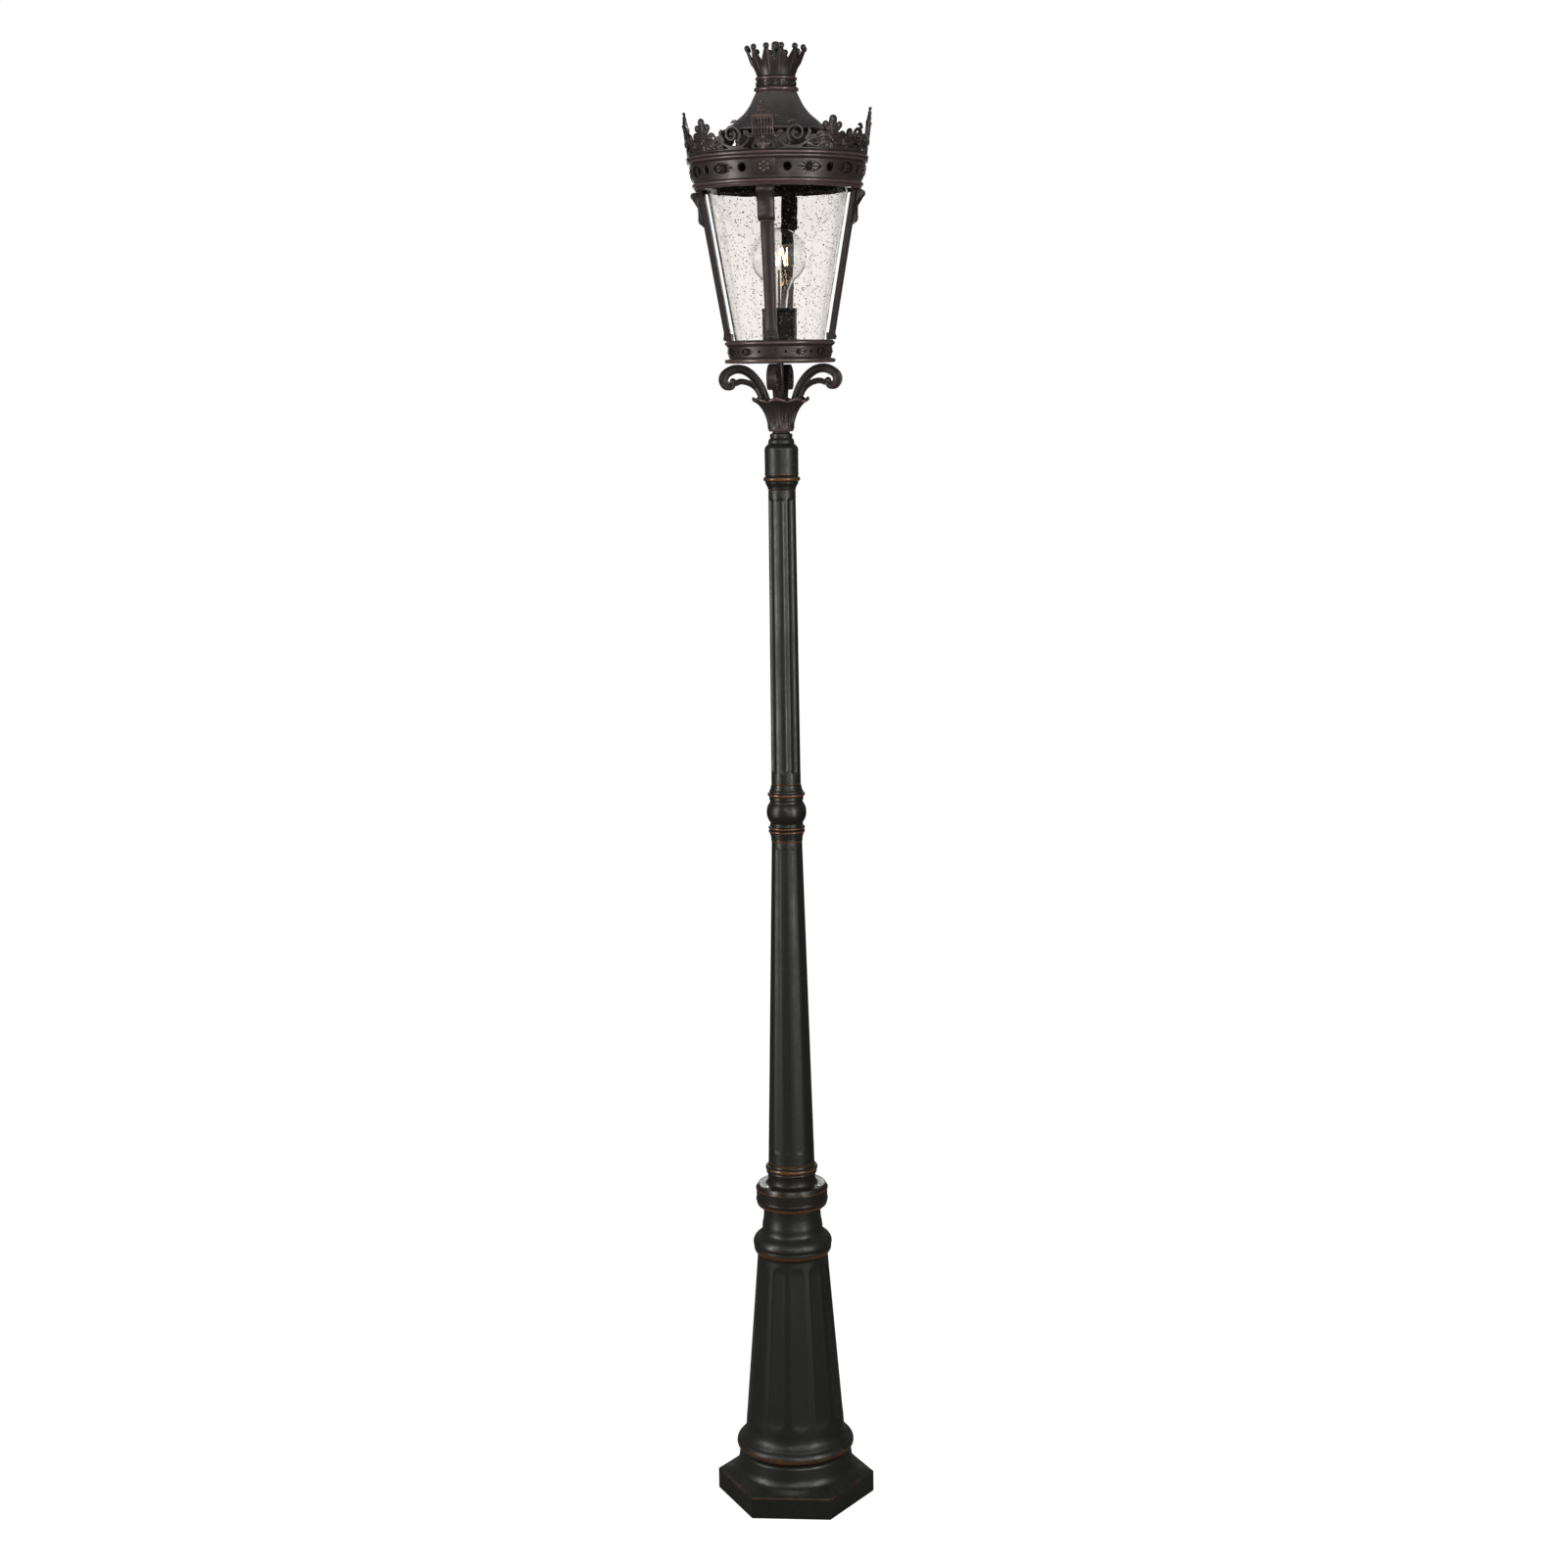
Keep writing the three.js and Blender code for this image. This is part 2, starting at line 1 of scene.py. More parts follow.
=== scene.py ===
import math

import bpy
import numpy as np
from mathutils import Matrix


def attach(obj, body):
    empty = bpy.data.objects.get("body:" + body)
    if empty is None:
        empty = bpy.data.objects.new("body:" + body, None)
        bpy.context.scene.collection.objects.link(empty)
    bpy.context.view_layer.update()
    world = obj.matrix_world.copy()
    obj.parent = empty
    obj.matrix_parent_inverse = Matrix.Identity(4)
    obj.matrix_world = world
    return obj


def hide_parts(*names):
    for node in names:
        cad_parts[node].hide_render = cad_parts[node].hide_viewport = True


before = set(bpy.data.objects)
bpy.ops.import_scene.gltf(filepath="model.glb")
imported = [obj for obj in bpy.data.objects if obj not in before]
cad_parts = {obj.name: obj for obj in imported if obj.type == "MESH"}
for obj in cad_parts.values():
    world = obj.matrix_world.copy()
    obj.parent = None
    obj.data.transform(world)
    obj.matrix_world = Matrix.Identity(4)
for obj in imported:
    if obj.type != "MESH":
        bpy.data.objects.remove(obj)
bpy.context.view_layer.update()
mm = 0.001  # shapes are worked out in millimetres and stored in metres
armAngles = {"right": 0, "back": 90, "left": 180, "front": 270}


# Camera and studio

shot = {
    "lens": 57.0,
    "sensor": 36.0,
    "distance": 5.70,
    "height": 2.654,
    "azimuth": 8.5,  # degrees round from the front towards +X
    "aim": 0.05,
    "pitch": 9.1,
    "roll": 0.83,
}


def makeCamera():
    data = bpy.data.cameras.new("camera")
    data.lens = shot["lens"]
    data.sensor_width = shot["sensor"]
    camera = bpy.data.objects.new("camera", data)
    azimuth = math.radians(shot["azimuth"])
    heading = Matrix.Rotation(azimuth + math.radians(shot["aim"]), 4, "Z")
    tilt = Matrix.Rotation(math.radians(90 - shot["pitch"]), 4, "X")
    roll = Matrix.Rotation(-math.radians(shot["roll"]), 4, "Z")
    place = (shot["distance"] * math.sin(azimuth), -shot["distance"] * math.cos(azimuth), shot["height"])
    camera.matrix_world = Matrix.Translation(place) @ heading @ tilt @ roll
    bpy.context.scene.collection.objects.link(camera)
    bpy.context.scene.camera = camera


makeCamera()

studio = {
    "background": 1.0,
    "surround": 0.15,
    "floorSize": 60.0,
    "floorColor": (0.13, 0.13, 0.125, 1),
    "floorRoughness": 0.9,
    "floorGlow": 1.0,
    "boxAim": 2.0,  # the height that the soft boxes face
    "leftBox": {"azimuth": -56, "distance": 4.2, "height": 2.4, "size": (0.9, 3.8), "power": 190},
    "rightBox": {"azimuth": 53, "distance": 4.4, "height": 2.5, "size": (0.8, 3.8), "power": 170},
    "frontBox": {"azimuth": 8, "distance": 6.5, "height": 4.6, "size": (3.0, 2.0), "power": 120},
    "lowBox": {"azimuth": 22, "distance": 6.0, "height": 1.75, "size": (0.9, 1.9), "power": 55},
    "backBox": {"azimuth": 190, "distance": 5.0, "height": 3.4, "size": (2.5, 2.5), "power": 90},
}


def addNode(tree, kind, **settings):
    made = tree.nodes.new(kind)
    for key, value in settings.items():
        setattr(made, key, value)
    return made


def makeSurround():
    world = bpy.data.worlds.new("surround")
    world.use_nodes = True
    tree = world.node_tree
    tree.nodes.clear()
    path = addNode(tree, "ShaderNodeLightPath")
    seen = addNode(tree, "ShaderNodeMath", operation="MAXIMUM")
    tree.links.new(path.outputs["Is Camera Ray"], seen.inputs[0])
    tree.links.new(path.outputs["Is Transmission Ray"], seen.inputs[1])
    strength = addNode(tree, "ShaderNodeMapRange")
    strength.inputs["To Min"].default_value = studio["surround"]
    strength.inputs["To Max"].default_value = studio["background"]
    tree.links.new(seen.outputs[0], strength.inputs["Value"])
    light = addNode(tree, "ShaderNodeBackground")
    light.inputs["Color"].default_value = (1, 1, 1, 1)
    tree.links.new(strength.outputs["Result"], light.inputs["Strength"])
    out = addNode(tree, "ShaderNodeOutputWorld")
    tree.links.new(light.outputs[0], out.inputs["Surface"])
    bpy.context.scene.world = world
    bpy.context.scene.view_settings.view_transform = "Standard"


def makeFloor():
    half = studio["floorSize"] / 2
    mesh = bpy.data.meshes.new("floor")
    mesh.from_pydata([(-half, -half, 0), (half, -half, 0), (half, half, 0), (-half, half, 0)], [],
                     [(0, 1, 2, 3)])
    floor = bpy.data.objects.new("floor", mesh)
    bpy.context.scene.collection.objects.link(floor)
    material = bpy.data.materials.new("floorPaper")
    material.use_nodes = True
    tree = material.node_tree
    shader = tree.nodes["Principled BSDF"]
    shader.inputs["Base Color"].default_value = studio["floorColor"]
    shader.inputs["Roughness"].default_value = studio["floorRoughness"]
    shader.inputs["Specular IOR Level"].default_value = 0.0
    shader.inputs["Emission Color"].default_value = (1, 1, 1, 1)
    path = addNode(tree, "ShaderNodeLightPath")
    glow = addNode(tree, "ShaderNodeMath", operation="MULTIPLY")
    glow.inputs[1].default_value = studio["floorGlow"]
    tree.links.new(path.outputs["Is Camera Ray"], glow.inputs[0])
    tree.links.new(glow.outputs[0], shader.inputs["Emission Strength"])
    mesh.materials.append(material)


unlitGlass = bpy.data.collections.new("unlitGlass")


def makeBox(name):
    # a soft light; its streak is kept off the glass shade
    box = studio[name]
    data = bpy.data.lights.new(name, "AREA")
    data.shape = "RECTANGLE"
    data.size, data.size_y = box["size"]
    data.energy = box["power"]
    lamp = bpy.data.objects.new(name, data)
    azimuth = math.radians(box["azimuth"])
    place = (box["distance"] * math.sin(azimuth), -box["distance"] * math.cos(azimuth), box["height"])
    tilt = math.atan2(box["height"] - studio["boxAim"], box["distance"])
    turn = Matrix.Rotation(azimuth, 4, "Z") @ Matrix.Rotation(math.pi / 2 - tilt, 4, "X")
    lamp.matrix_world = Matrix.Translation(place) @ turn
    lamp.visible_camera = False
    lamp.visible_transmission = False
    bpy.context.scene.collection.objects.link(lamp)
    lamp.light_linking.receiver_collection = unlitGlass


makeSurround()
makeFloor()
for boxName in ("leftBox", "rightBox", "frontBox", "lowBox", "backBox"):
    makeBox(boxName)
print("studio ready")


# Shader node groups, placed in each finish with its own values

def newGroup(name, inputs, outputs):
    tree = bpy.data.node_groups.new(name, "ShaderNodeTree")
    for label, kind, value in inputs:
        socket = tree.interface.new_socket(label, in_out="INPUT", socket_type=kind)
        if value is not None:
            socket.default_value = value
    for label, kind in outputs:
        tree.interface.new_socket(label, in_out="OUTPUT", socket_type=kind)
    return tree, addNode(tree, "NodeGroupInput"), addNode(tree, "NodeGroupOutput")


def maths(tree, operation, *values):
    made = addNode(tree, "ShaderNodeMath", operation=operation)
    for i, value in enumerate(values):
        if isinstance(value, (int, float)):
            made.inputs[i].default_value = value
        else:
            tree.links.new(value, made.inputs[i])
    return made.outputs[0]


def noise(tree, vector, scale, detail=4.0, roughness=0.55):
    made = addNode(tree, "ShaderNodeTexNoise")
    made.inputs["Detail"].default_value = detail
    made.inputs["Roughness"].default_value = roughness
    tree.links.new(vector, made.inputs["Vector"])
    if isinstance(scale, (int, float)):
        made.inputs["Scale"].default_value = scale
    else:
        tree.links.new(scale, made.inputs["Scale"])
    return made.outputs["Fac"]


def remap(tree, value, low, high, newLow=0.0, newHigh=1.0):
    made = addNode(tree, "ShaderNodeMapRange", interpolation_type="SMOOTHSTEP")
    made.inputs["From Min"].default_value = low
    made.inputs["From Max"].default_value = high
    made.inputs["To Min"].default_value = newLow
    made.inputs["To Max"].default_value = newHigh
    tree.links.new(value, made.inputs["Value"])
    return made.outputs["Result"]


def makeCastGrain():
    tree, given, out = newGroup(
        "castGrain",
        [("Vector", "NodeSocketVector", None), ("Scale", "NodeSocketFloat", 60.0)],
        [("Mottle", "NodeSocketFloat"), ("Height", "NodeSocketFloat")],
    )
    vector, scale = given.outputs["Vector"], given.outputs["Scale"]
    broad = noise(tree, vector, maths(tree, "MULTIPLY", scale, 0.12), 3.0)
    middle = noise(tree, vector, scale, 5.0, 0.6)
    fine = noise(tree, vector, maths(tree, "MULTIPLY", scale, 8.0), 3.0)
    mottle = maths(tree, "ADD", maths(tree, "MULTIPLY", broad, 0.5), maths(tree, "MULTIPLY", middle, 0.5))
    tree.links.new(remap(tree, mottle, 0.34, 0.66), out.inputs["Mottle"])
    height = maths(tree, "ADD", maths(tree, "MULTIPLY", middle, 0.6), maths(tree, "MULTIPLY", fine, 0.4))
    tree.links.new(height, out.inputs["Height"])
    return tree


def makeRubThroughAndSheen():
    tree, given, out = newGroup(
        "rubThroughAndSheen",
        [("Vector", "NodeSocketVector", None), ("Rub", "NodeSocketFloat", 0.0),
         ("Scale", "NodeSocketFloat", 25.0)],
        [("Mask", "NodeSocketFloat")],
    )
    patch = noise(tree, given.outputs["Vector"], given.outputs["Scale"], 6.0, 0.65)
    broken = maths(tree, "ADD", given.outputs["Rub"], maths(tree, "MULTIPLY", patch, 1.1))
    tree.links.new(remap(tree, broken, 0.95, 1.35), out.inputs["Mask"])
    return tree


# upward faces take a lighter colour: settled dust, and also a painted sheen of light falling from above
def makeDustAndTopSheen():
    tree, given, out = newGroup(
        "dustAndTopSheen",
        [("Vector", "NodeSocketVector", None), ("Amount", "NodeSocketFloat", 0.3)],
        [("Mask", "NodeSocketFloat")],
    )
    facing = addNode(tree, "ShaderNodeSeparateXYZ")
    tree.links.new(addNode(tree, "ShaderNodeNewGeometry").outputs["Normal"], facing.inputs[0])
    upward = remap(tree, facing.outputs["Z"], 0.25, 1.0)
    patch = remap(tree, noise(tree, given.outputs["Vector"], 38.0, 5.0, 0.6), 0.38, 0.68)
    cover = maths(tree, "MULTIPLY", upward, maths(tree, "MULTIPLY", patch, given.outputs["Amount"]))
    tree.links.new(cover, out.inputs["Mask"])
    return tree


castGrain = makeCastGrain()
rubThroughAndSheen = makeRubThroughAndSheen()
dustAndTopSheen = makeDustAndTopSheen()


def useGroup(tree, group, vector, **values):
    made = addNode(tree, "ShaderNodeGroup", node_tree=group)
    tree.links.new(vector, made.inputs["Vector"])
    for key, value in values.items():
        if isinstance(value, (int, float)):
            made.inputs[key].default_value = value
        else:
            tree.links.new(value, made.inputs[key])
    return made.outputs


def blendColor(tree, mask, first, second):
    made = addNode(tree, "ShaderNodeMix", data_type="RGBA")
    tree.links.new(mask, made.inputs["Factor"])
    for socket, color in ((made.inputs[6], first), (made.inputs[7], second)):
        if isinstance(color, tuple):
            socket.default_value = (*color, 1)
        else:
            tree.links.new(color, socket)
    return made.outputs[2]


def newMaterial(name):
    material = bpy.data.materials.new(name)
    material.use_nodes = True
    tree = material.node_tree
    coordinates = addNode(tree, "ShaderNodeTexCoord").outputs["Object"]
    return material, tree, tree.nodes["Principled BSDF"], coordinates


def addBump(tree, shader, height, strength, distance):
    bump = addNode(tree, "ShaderNodeBump")
    bump.inputs["Strength"].default_value = strength
    bump.inputs["Distance"].default_value = distance
    tree.links.new(height, bump.inputs["Height"])
    tree.links.new(bump.outputs["Normal"], shader.inputs["Normal"])


castingLook = {"shine": 0.45, "dustAndSheenDulls": 0.3, "rubPolishes": 0.06, "grainDepth": 0.0006}


def paintedCasting(name, paint):
    material, tree, shader, vector = newMaterial(name)
    grain = useGroup(tree, castGrain, vector, Scale=paint["grain"])
    rub = addNode(tree, "ShaderNodeAttribute", attribute_name="rub")
    wornAndSheen = useGroup(tree, rubThroughAndSheen, vector, Rub=rub.outputs["Fac"], Scale=paint["patches"])["Mask"]
    dustAndSheen = useGroup(tree, dustAndTopSheen, vector, Amount=paint["dustAndSheen"])["Mask"]
    color = blendColor(tree, grain["Mottle"], paint["dark"], paint["light"])
    # the worn colour: rub-through, and also a painted sheen where the rub share is raised for light
    color = blendColor(tree, wornAndSheen, color, paint["wornAndSheen"])
    # upward faces lighten: dust, and a painted sheen of light from above
    color = blendColor(tree, dustAndSheen, color, paint["dustAndSheenColor"])
    tree.links.new(color, shader.inputs["Base Color"])
    low, high = paint["roughness"]
    rough = remap(tree, grain["Mottle"], 0.0, 1.0, high, low)
    rough = maths(tree, "ADD", rough, maths(tree, "MULTIPLY", dustAndSheen, castingLook["dustAndSheenDulls"]))
    rough = maths(tree, "SUBTRACT", rough, maths(tree, "MULTIPLY", wornAndSheen, castingLook["rubPolishes"]))
    tree.links.new(rough, shader.inputs["Roughness"])
    shader.inputs["Metallic"].default_value = paint["metallic"]
    shader.inputs["Specular IOR Level"].default_value = castingLook["shine"]
    addBump(tree, shader, grain["Height"], paint["bump"], castingLook["grainDepth"])
    return material


paints = {
    "lanternBronze": {
        "dark": (0.017, 0.0115, 0.011), "light": (0.033, 0.0235, 0.022), "wornAndSheen": (0.080, 0.052, 0.046),
        "dustAndSheenColor": (0.13, 0.115, 0.11), "grain": 55.0, "patches": 45.0, "dustAndSheen": 0.35,
        "roughness": (0.33, 0.46), "metallic": 0.35, "bump": 0.12,
    },
    "roofSlate": {
        "dark": (0.060, 0.053, 0.053), "light": (0.088, 0.080, 0.080), "wornAndSheen": (0.10, 0.085, 0.08),
        "dustAndSheenColor": (0.13, 0.125, 0.125), "grain": 34.0, "patches": 30.0, "dustAndSheen": 0.25,
        "roughness": (0.34, 0.46), "metallic": 0.35, "bump": 0.08,
    },
    "postGreen": {
        "dark": (0.0048, 0.0052, 0.0036), "light": (0.0125, 0.0132, 0.0090), "wornAndSheen": (0.062, 0.027, 0.012),
        "dustAndSheenColor": (0.07, 0.068, 0.06), "grain": 70.0, "patches": 30.0, "dustAndSheen": 0.10,
        "roughness": (0.34, 0.48), "metallic": 0.3, "bump": 0.10,
    },
    "rubbedPost": {
        "dark": (0.0080, 0.0075, 0.0055), "light": (0.018, 0.016, 0.011), "wornAndSheen": (0.105, 0.045, 0.018),
        "dustAndSheenColor": (0.07, 0.068, 0.06), "grain": 70.0, "patches": 22.0, "dustAndSheen": 0.12,
        "roughness": (0.28, 0.42), "metallic": 0.45, "bump": 0.10,
    },
    "blackEnamel": {
        "dark": (0.004, 0.0035, 0.0035), "light": (0.010, 0.009, 0.0085), "wornAndSheen": (0.03, 0.027, 0.025),
        "dustAndSheenColor": (0.12, 0.11, 0.10), "grain": 80.0, "patches": 40.0, "dustAndSheen": 0.3,
        "roughness": (0.36, 0.50), "metallic": 0.1, "bump": 0.2,
    },
    "zincPlate": {
        "dark": (0.32, 0.33, 0.34), "light": (0.52, 0.53, 0.54), "wornAndSheen": (0.66, 0.66, 0.65),
        "dustAndSheenColor": (0.25, 0.22, 0.18), "grain": 120.0, "patches": 60.0, "dustAndSheen": 0.4,
        "roughness": (0.28, 0.46), "metallic": 1.0, "bump": 0.25,
    },
    "lampMetal": {
        "dark": (0.50, 0.46, 0.38), "light": (0.68, 0.62, 0.52), "wornAndSheen": (0.80, 0.76, 0.68),
        "dustAndSheenColor": (0.30, 0.27, 0.22), "grain": 150.0, "patches": 80.0, "dustAndSheen": 0.2,
        "roughness": (0.20, 0.36), "metallic": 1.0, "bump": 0.15,
    },
    "porcelain": {
        "dark": (0.70, 0.67, 0.60), "light": (0.82, 0.80, 0.74), "wornAndSheen": (0.60, 0.56, 0.48),
        "dustAndSheenColor": (0.40, 0.36, 0.30), "grain": 40.0, "patches": 40.0, "dustAndSheen": 0.3,
        "roughness": (0.16, 0.30), "metallic": 0.0, "bump": 0.08,
    },
    "insulatingBoard": {
        "dark": (0.46, 0.42, 0.34), "light": (0.60, 0.56, 0.48), "wornAndSheen": (0.68, 0.64, 0.56),
        "dustAndSheenColor": (0.35, 0.31, 0.26), "grain": 90.0, "patches": 60.0, "dustAndSheen": 0.3,
        "roughness": (0.45, 0.62), "metallic": 0.0, "bump": 0.2,
    },
    "cableSheath": {
        "dark": (0.012, 0.012, 0.013), "light": (0.024, 0.024, 0.026), "wornAndSheen": (0.05, 0.05, 0.05),
        "dustAndSheenColor": (0.14, 0.13, 0.11), "grain": 120.0, "patches": 60.0, "dustAndSheen": 0.3,
        "roughness": (0.50, 0.66), "metallic": 0.0, "bump": 0.2,
    },
}
finishes = {name: paintedCasting(name, paint) for name, paint in paints.items()}

glassWaveDepth = 0.002
glassLooks = {
    "seededGlass": {
        "tint": (1.0, 0.970, 0.946, 1), "roughness": 0.0, "ior": 1.5, "wave": 0.25, "waveScale": 26.0,
        "clear": 1.0, "shine": 0.16,
    },
    "glassSeed": {
        "tint": (0.62, 0.56, 0.53, 1), "roughness": 0.12, "ior": 1.3, "wave": 0.05, "waveScale": 200.0,
        "clear": 0.25, "shine": 0.5,
    },
    "lampGlass": {
        "tint": (0.985, 0.99, 0.99, 1), "roughness": 0.0, "ior": 1.45, "wave": 0.03, "waveScale": 60.0,
        "clear": 1.0, "shine": 0.7,
    },
}


def makeGlass(name, look):
    material, tree, shader, vector = newMaterial(name)
    shader.inputs["Base Color"].default_value = look["tint"]
    shader.inputs["Roughness"].default_value = look["roughness"]
    shader.inputs["IOR"].default_value = look["ior"]
    shader.inputs["Specular IOR Level"].default_value = look["shine"]
    shader.inputs["Transmission Weight"].default_value = look["clear"]
    addBump(tree, shader, noise(tree, vector, look["waveScale"], 2.0), look["wave"], glassWaveDepth)
    return material


for glassName, glassLook in glassLooks.items():
    finishes[glassName] = makeGlass(glassName, glassLook)

filamentLook = {"cold": (0.5, 0.4, 0.3, 1), "roughness": 0.4, "hot": (1.0, 0.70, 0.38), "strength": 9.0}


def makeGlow():
    # only the wires glow: their rub is 1, and the stem's is 0
    material, tree, shader = newMaterial("lampFilament")[:3]
    shader.inputs["Base Color"].default_value = filamentLook["cold"]
    shader.inputs["Roughness"].default_value = filamentLook["roughness"]
    hot = addNode(tree, "ShaderNodeAttribute", attribute_name="rub").outputs["Fac"]
    glow = blendColor(tree, hot, (0, 0, 0), filamentLook["hot"])
    tree.links.new(glow, shader.inputs["Emission Color"])
    shader.inputs["Emission Strength"].default_value = filamentLook["strength"]
    return material


finishes["lampFilament"] = makeGlow()
print("finishes ready")


# Shapes: a solid is its points (x, y, z and how far the paint is rubbed through, with painted sheen where
# that share is raised for light), quads and triangles

def asSolid(points, quads, tris=()):
    points = np.asarray(points, float)
    if points.shape[1] == 3:
        points = np.hstack([points, np.zeros((len(points), 1))])
    quads = np.asarray(quads, int).reshape(-1, 4)
    tris = np.asarray(tris, int).reshape(-1, 3)
    corners = np.vstack([quads[:, [0, 1, 2]], quads[:, [0, 2, 3]], tris])
    a, b, c = (points[corners[:, i], :3] for i in range(3))
    if np.einsum("ij,ij->i", a, np.cross(b, c)).sum() < 0:  # inside out
        quads, tris = quads[:, ::-1], tris[:, ::-1]
    return points, quads, tris


def together(*solids):
    start, points, quads, tris = 0, [], [], []
    for p, q, t in solids:
        points.append(p)
        quads.append(q + start)
        tris.append(t + start)
        start += len(p)
    return np.vstack(points), np.vstack(quads), np.vstack(tris)


def moved(solid, change):
    points, quads, tris = solid
    fresh = points.copy()
    fresh[:, :3] = change(points[:, :3])
    return asSolid(fresh, quads, tris)


def rotated(solid, degrees):
    turn = np.array(Matrix.Rotation(math.radians(degrees), 3, "Z"))
    return moved(solid, lambda p: p @ turn.T)


def shifted(solid, x=0.0, y=0.0, z=0.0):
    return moved(solid, lambda p: p + np.array([x, y, z]))


def fromRings(points, ends=None, wrapRows=False):
    # rings of points, one after another; the ends close on a point each, or the last ring meets the first
    rows, columns = points.shape[:2]
    index = np.arange(rows * columns).reshape(rows, columns)
    low, high = (index, np.roll(index, -1, 0)) if wrapRows else (index[:-1], index[1:])
    quads = np.stack([low, np.roll(low, -1, 1), np.roll(high, -1, 1), high], -1).reshape(-1, 4)
    flat = points.reshape(rows * columns, -1)
    if flat.shape[1] == 3:
        flat = np.hstack([flat, np.zeros((len(flat), 1))])
    tris = []
    if not wrapRows:
        first, last = ends if ends is not None else (points[0].mean(0)[:3], points[-1].mean(0)[:3])
        flat = np.vstack([flat, [*first, flat[0, 3]], [*last, flat[-1, 3]]])
        start, stop = rows * columns, rows * columns + 1
        ahead = np.roll(index, -1, 1)
        tris += [(start, b, a) for a, b in zip(index[0], ahead[0])]
        tris += [(stop, a, b) for a, b in zip(index[-1], ahead[-1])]
    return asSolid(flat, quads, tris)


def flowing(points, steps=5):
    # a smooth line through the points
    p = np.array(points, float)
    padded = np.vstack([2 * p[0] - p[1], p, 2 * p[-1] - p[-2]])
    line = []
    for i in range(1, len(padded) - 2):
        before, here, ahead, beyond = padded[i - 1:i + 3]
        for t in np.linspace(0, 1, steps, endpoint=False):
            line.append(0.5 * (2 * here + (ahead - before) * t
                               + (2 * before - 5 * here + 4 * ahead - beyond) * t ** 2
                               + (3 * here - before - 3 * ahead + beyond) * t ** 3))
    return [tuple(q) for q in line] + [tuple(p[-1])]


def bead(radius, height, size, first=-90, last=90, steps=8):
    # a round moulding that stands out of a wall
    angles = np.radians(np.linspace(first, last, steps + 1))
    return [(radius + size * math.cos(a), height + size * math.sin(a)) for a in angles]


def spaced(profile, step):
    # the same profile with no stretch longer than the step
    points = [profile[0]]
    for here, ahead in zip(profile, profile[1:]):
        count = max(1, math.ceil(math.dist(here[:2], ahead[:2]) / step))
        points += [tuple(np.array(here) + (np.array(ahead) - np.array(here)) * k / count)
                   for k in range(1, count + 1)]
    return points


def softened(profile, reach=1.2, steps=3, bands=()):
    # rounds the sharp corners, and gives each point its share of rub, with a painted warm sheen on undersides
    loop = np.array([p[:2] for p in profile], float)
    onAxis = loop[0, 0] == 0 and loop[-1, 0] == 0
    ahead, before = np.roll(loop, -1, 0), np.roll(loop, 1, 0)
    rows = []
    for i, corner in enumerate(loop):
        inward, outward = before[i] - corner, ahead[i] - corner
        a, b = np.linalg.norm(inward), np.linalg.norm(outward)
        if (onAxis and i in (0, len(loop) - 1)) or a < 1e-6 or b < 1e-6:
            rows.append(tuple(corner))
            continue
        bend = math.acos(np.clip(-np.dot(inward, outward) / (a * b), -1, 1))
        if bend < 0.3:
            rows.append(tuple(corner))
            continue
        cut = min(reach, 0.4 * a, 0.4 * b)
        start, end = corner + inward / a * cut, corner + outward / b * cut
        rows += [tuple((1 - t) ** 2 * start + 2 * t * (1 - t) * corner + t * t * end)
                 for t in np.linspace(0, 1, steps + 1)]
    return rubbedAndUnderSheen(spaced(rows, 6.0), bands)


rubSizes = {"blur": 8.0, "least": 0.4, "most": 1.9, "above": 0.5}


def rubbedAndUnderSheen(rows, bands=()):
    # paint rubs through where the outline stands out of its own blurred copy, most of all on undersides,
    # where the extra share is a painted warm sheen of light from below; bands add rub at a height, over a
    # half height, by a share, and a share of 0 takes it away
    s = rubSizes
    loop = np.array(rows)
    closedLoop = np.vstack([loop, loop[:1]])
    along = np.concatenate([[0], np.cumsum(np.linalg.norm(np.diff(closedLoop, axis=0), axis=1))])
    count = max(24, int(along[-1]))
    even = np.linspace(0, along[-1], count, endpoint=False)
    line = np.stack([np.interp(even, along, closedLoop[:, k]) for k in (0, 1)], 1)
    pitch = along[-1] / count
    reach = min(int(3 * s["blur"] / pitch), count // 2 - 1)
    weights = np.exp(-0.5 * (np.arange(-reach, reach + 1) * pitch / s["blur"]) ** 2)
    weights /= weights.sum()
    padded = np.vstack([line[-reach:], line, line[:reach]])
    blurred = np.stack([np.convolve(padded[:, k], weights, "valid") for k in (0, 1)], 1)
    run = np.roll(line, -1, 0) - np.roll(line, 1, 0)
    area = np.sum(line[:, 0] * np.roll(line[:, 1], -1) - line[:, 1] * np.roll(line[:, 0], -1))
    normal = np.stack([run[:, 1], -run[:, 0]], 1) / (np.linalg.norm(run, axis=1)[:, None] + 1e-9)
    normal *= np.sign(area)
    proud = np.einsum("ij,ij->i", line - blurred, normal)
    underSheen = s["above"] + (1 - s["above"]) * np.clip(0.5 - normal[:, 1], 0, 1)
    rub = np.clip((proud - s["least"]) / (s["most"] - s["least"]), 0, 1) * underSheen * (normal[:, 0] > -0.2)
    for height, half, share in bands:
        near = np.clip(1.6 - 1.6 * np.abs(line[:, 1] - height) / half, 0, 1) * (normal[:, 0] > 0.1)
        rub = np.maximum(rub, share * near) if share > 0 else rub * (1 - near)
    return [(r, z, share) for (r, z), share in zip(rows, np.interp(along[:-1], even, rub))]


def wornAndSheen(solid, share):
    # the solid again, with the same share of rub all over
    points, quads, tris = solid
    fresh = points.copy()
    fresh[:, 3] = share
    return fresh, quads, tris


def evenAngles(count, first=0.0):
    return np.radians(first + np.arange(count) * 360 / count)


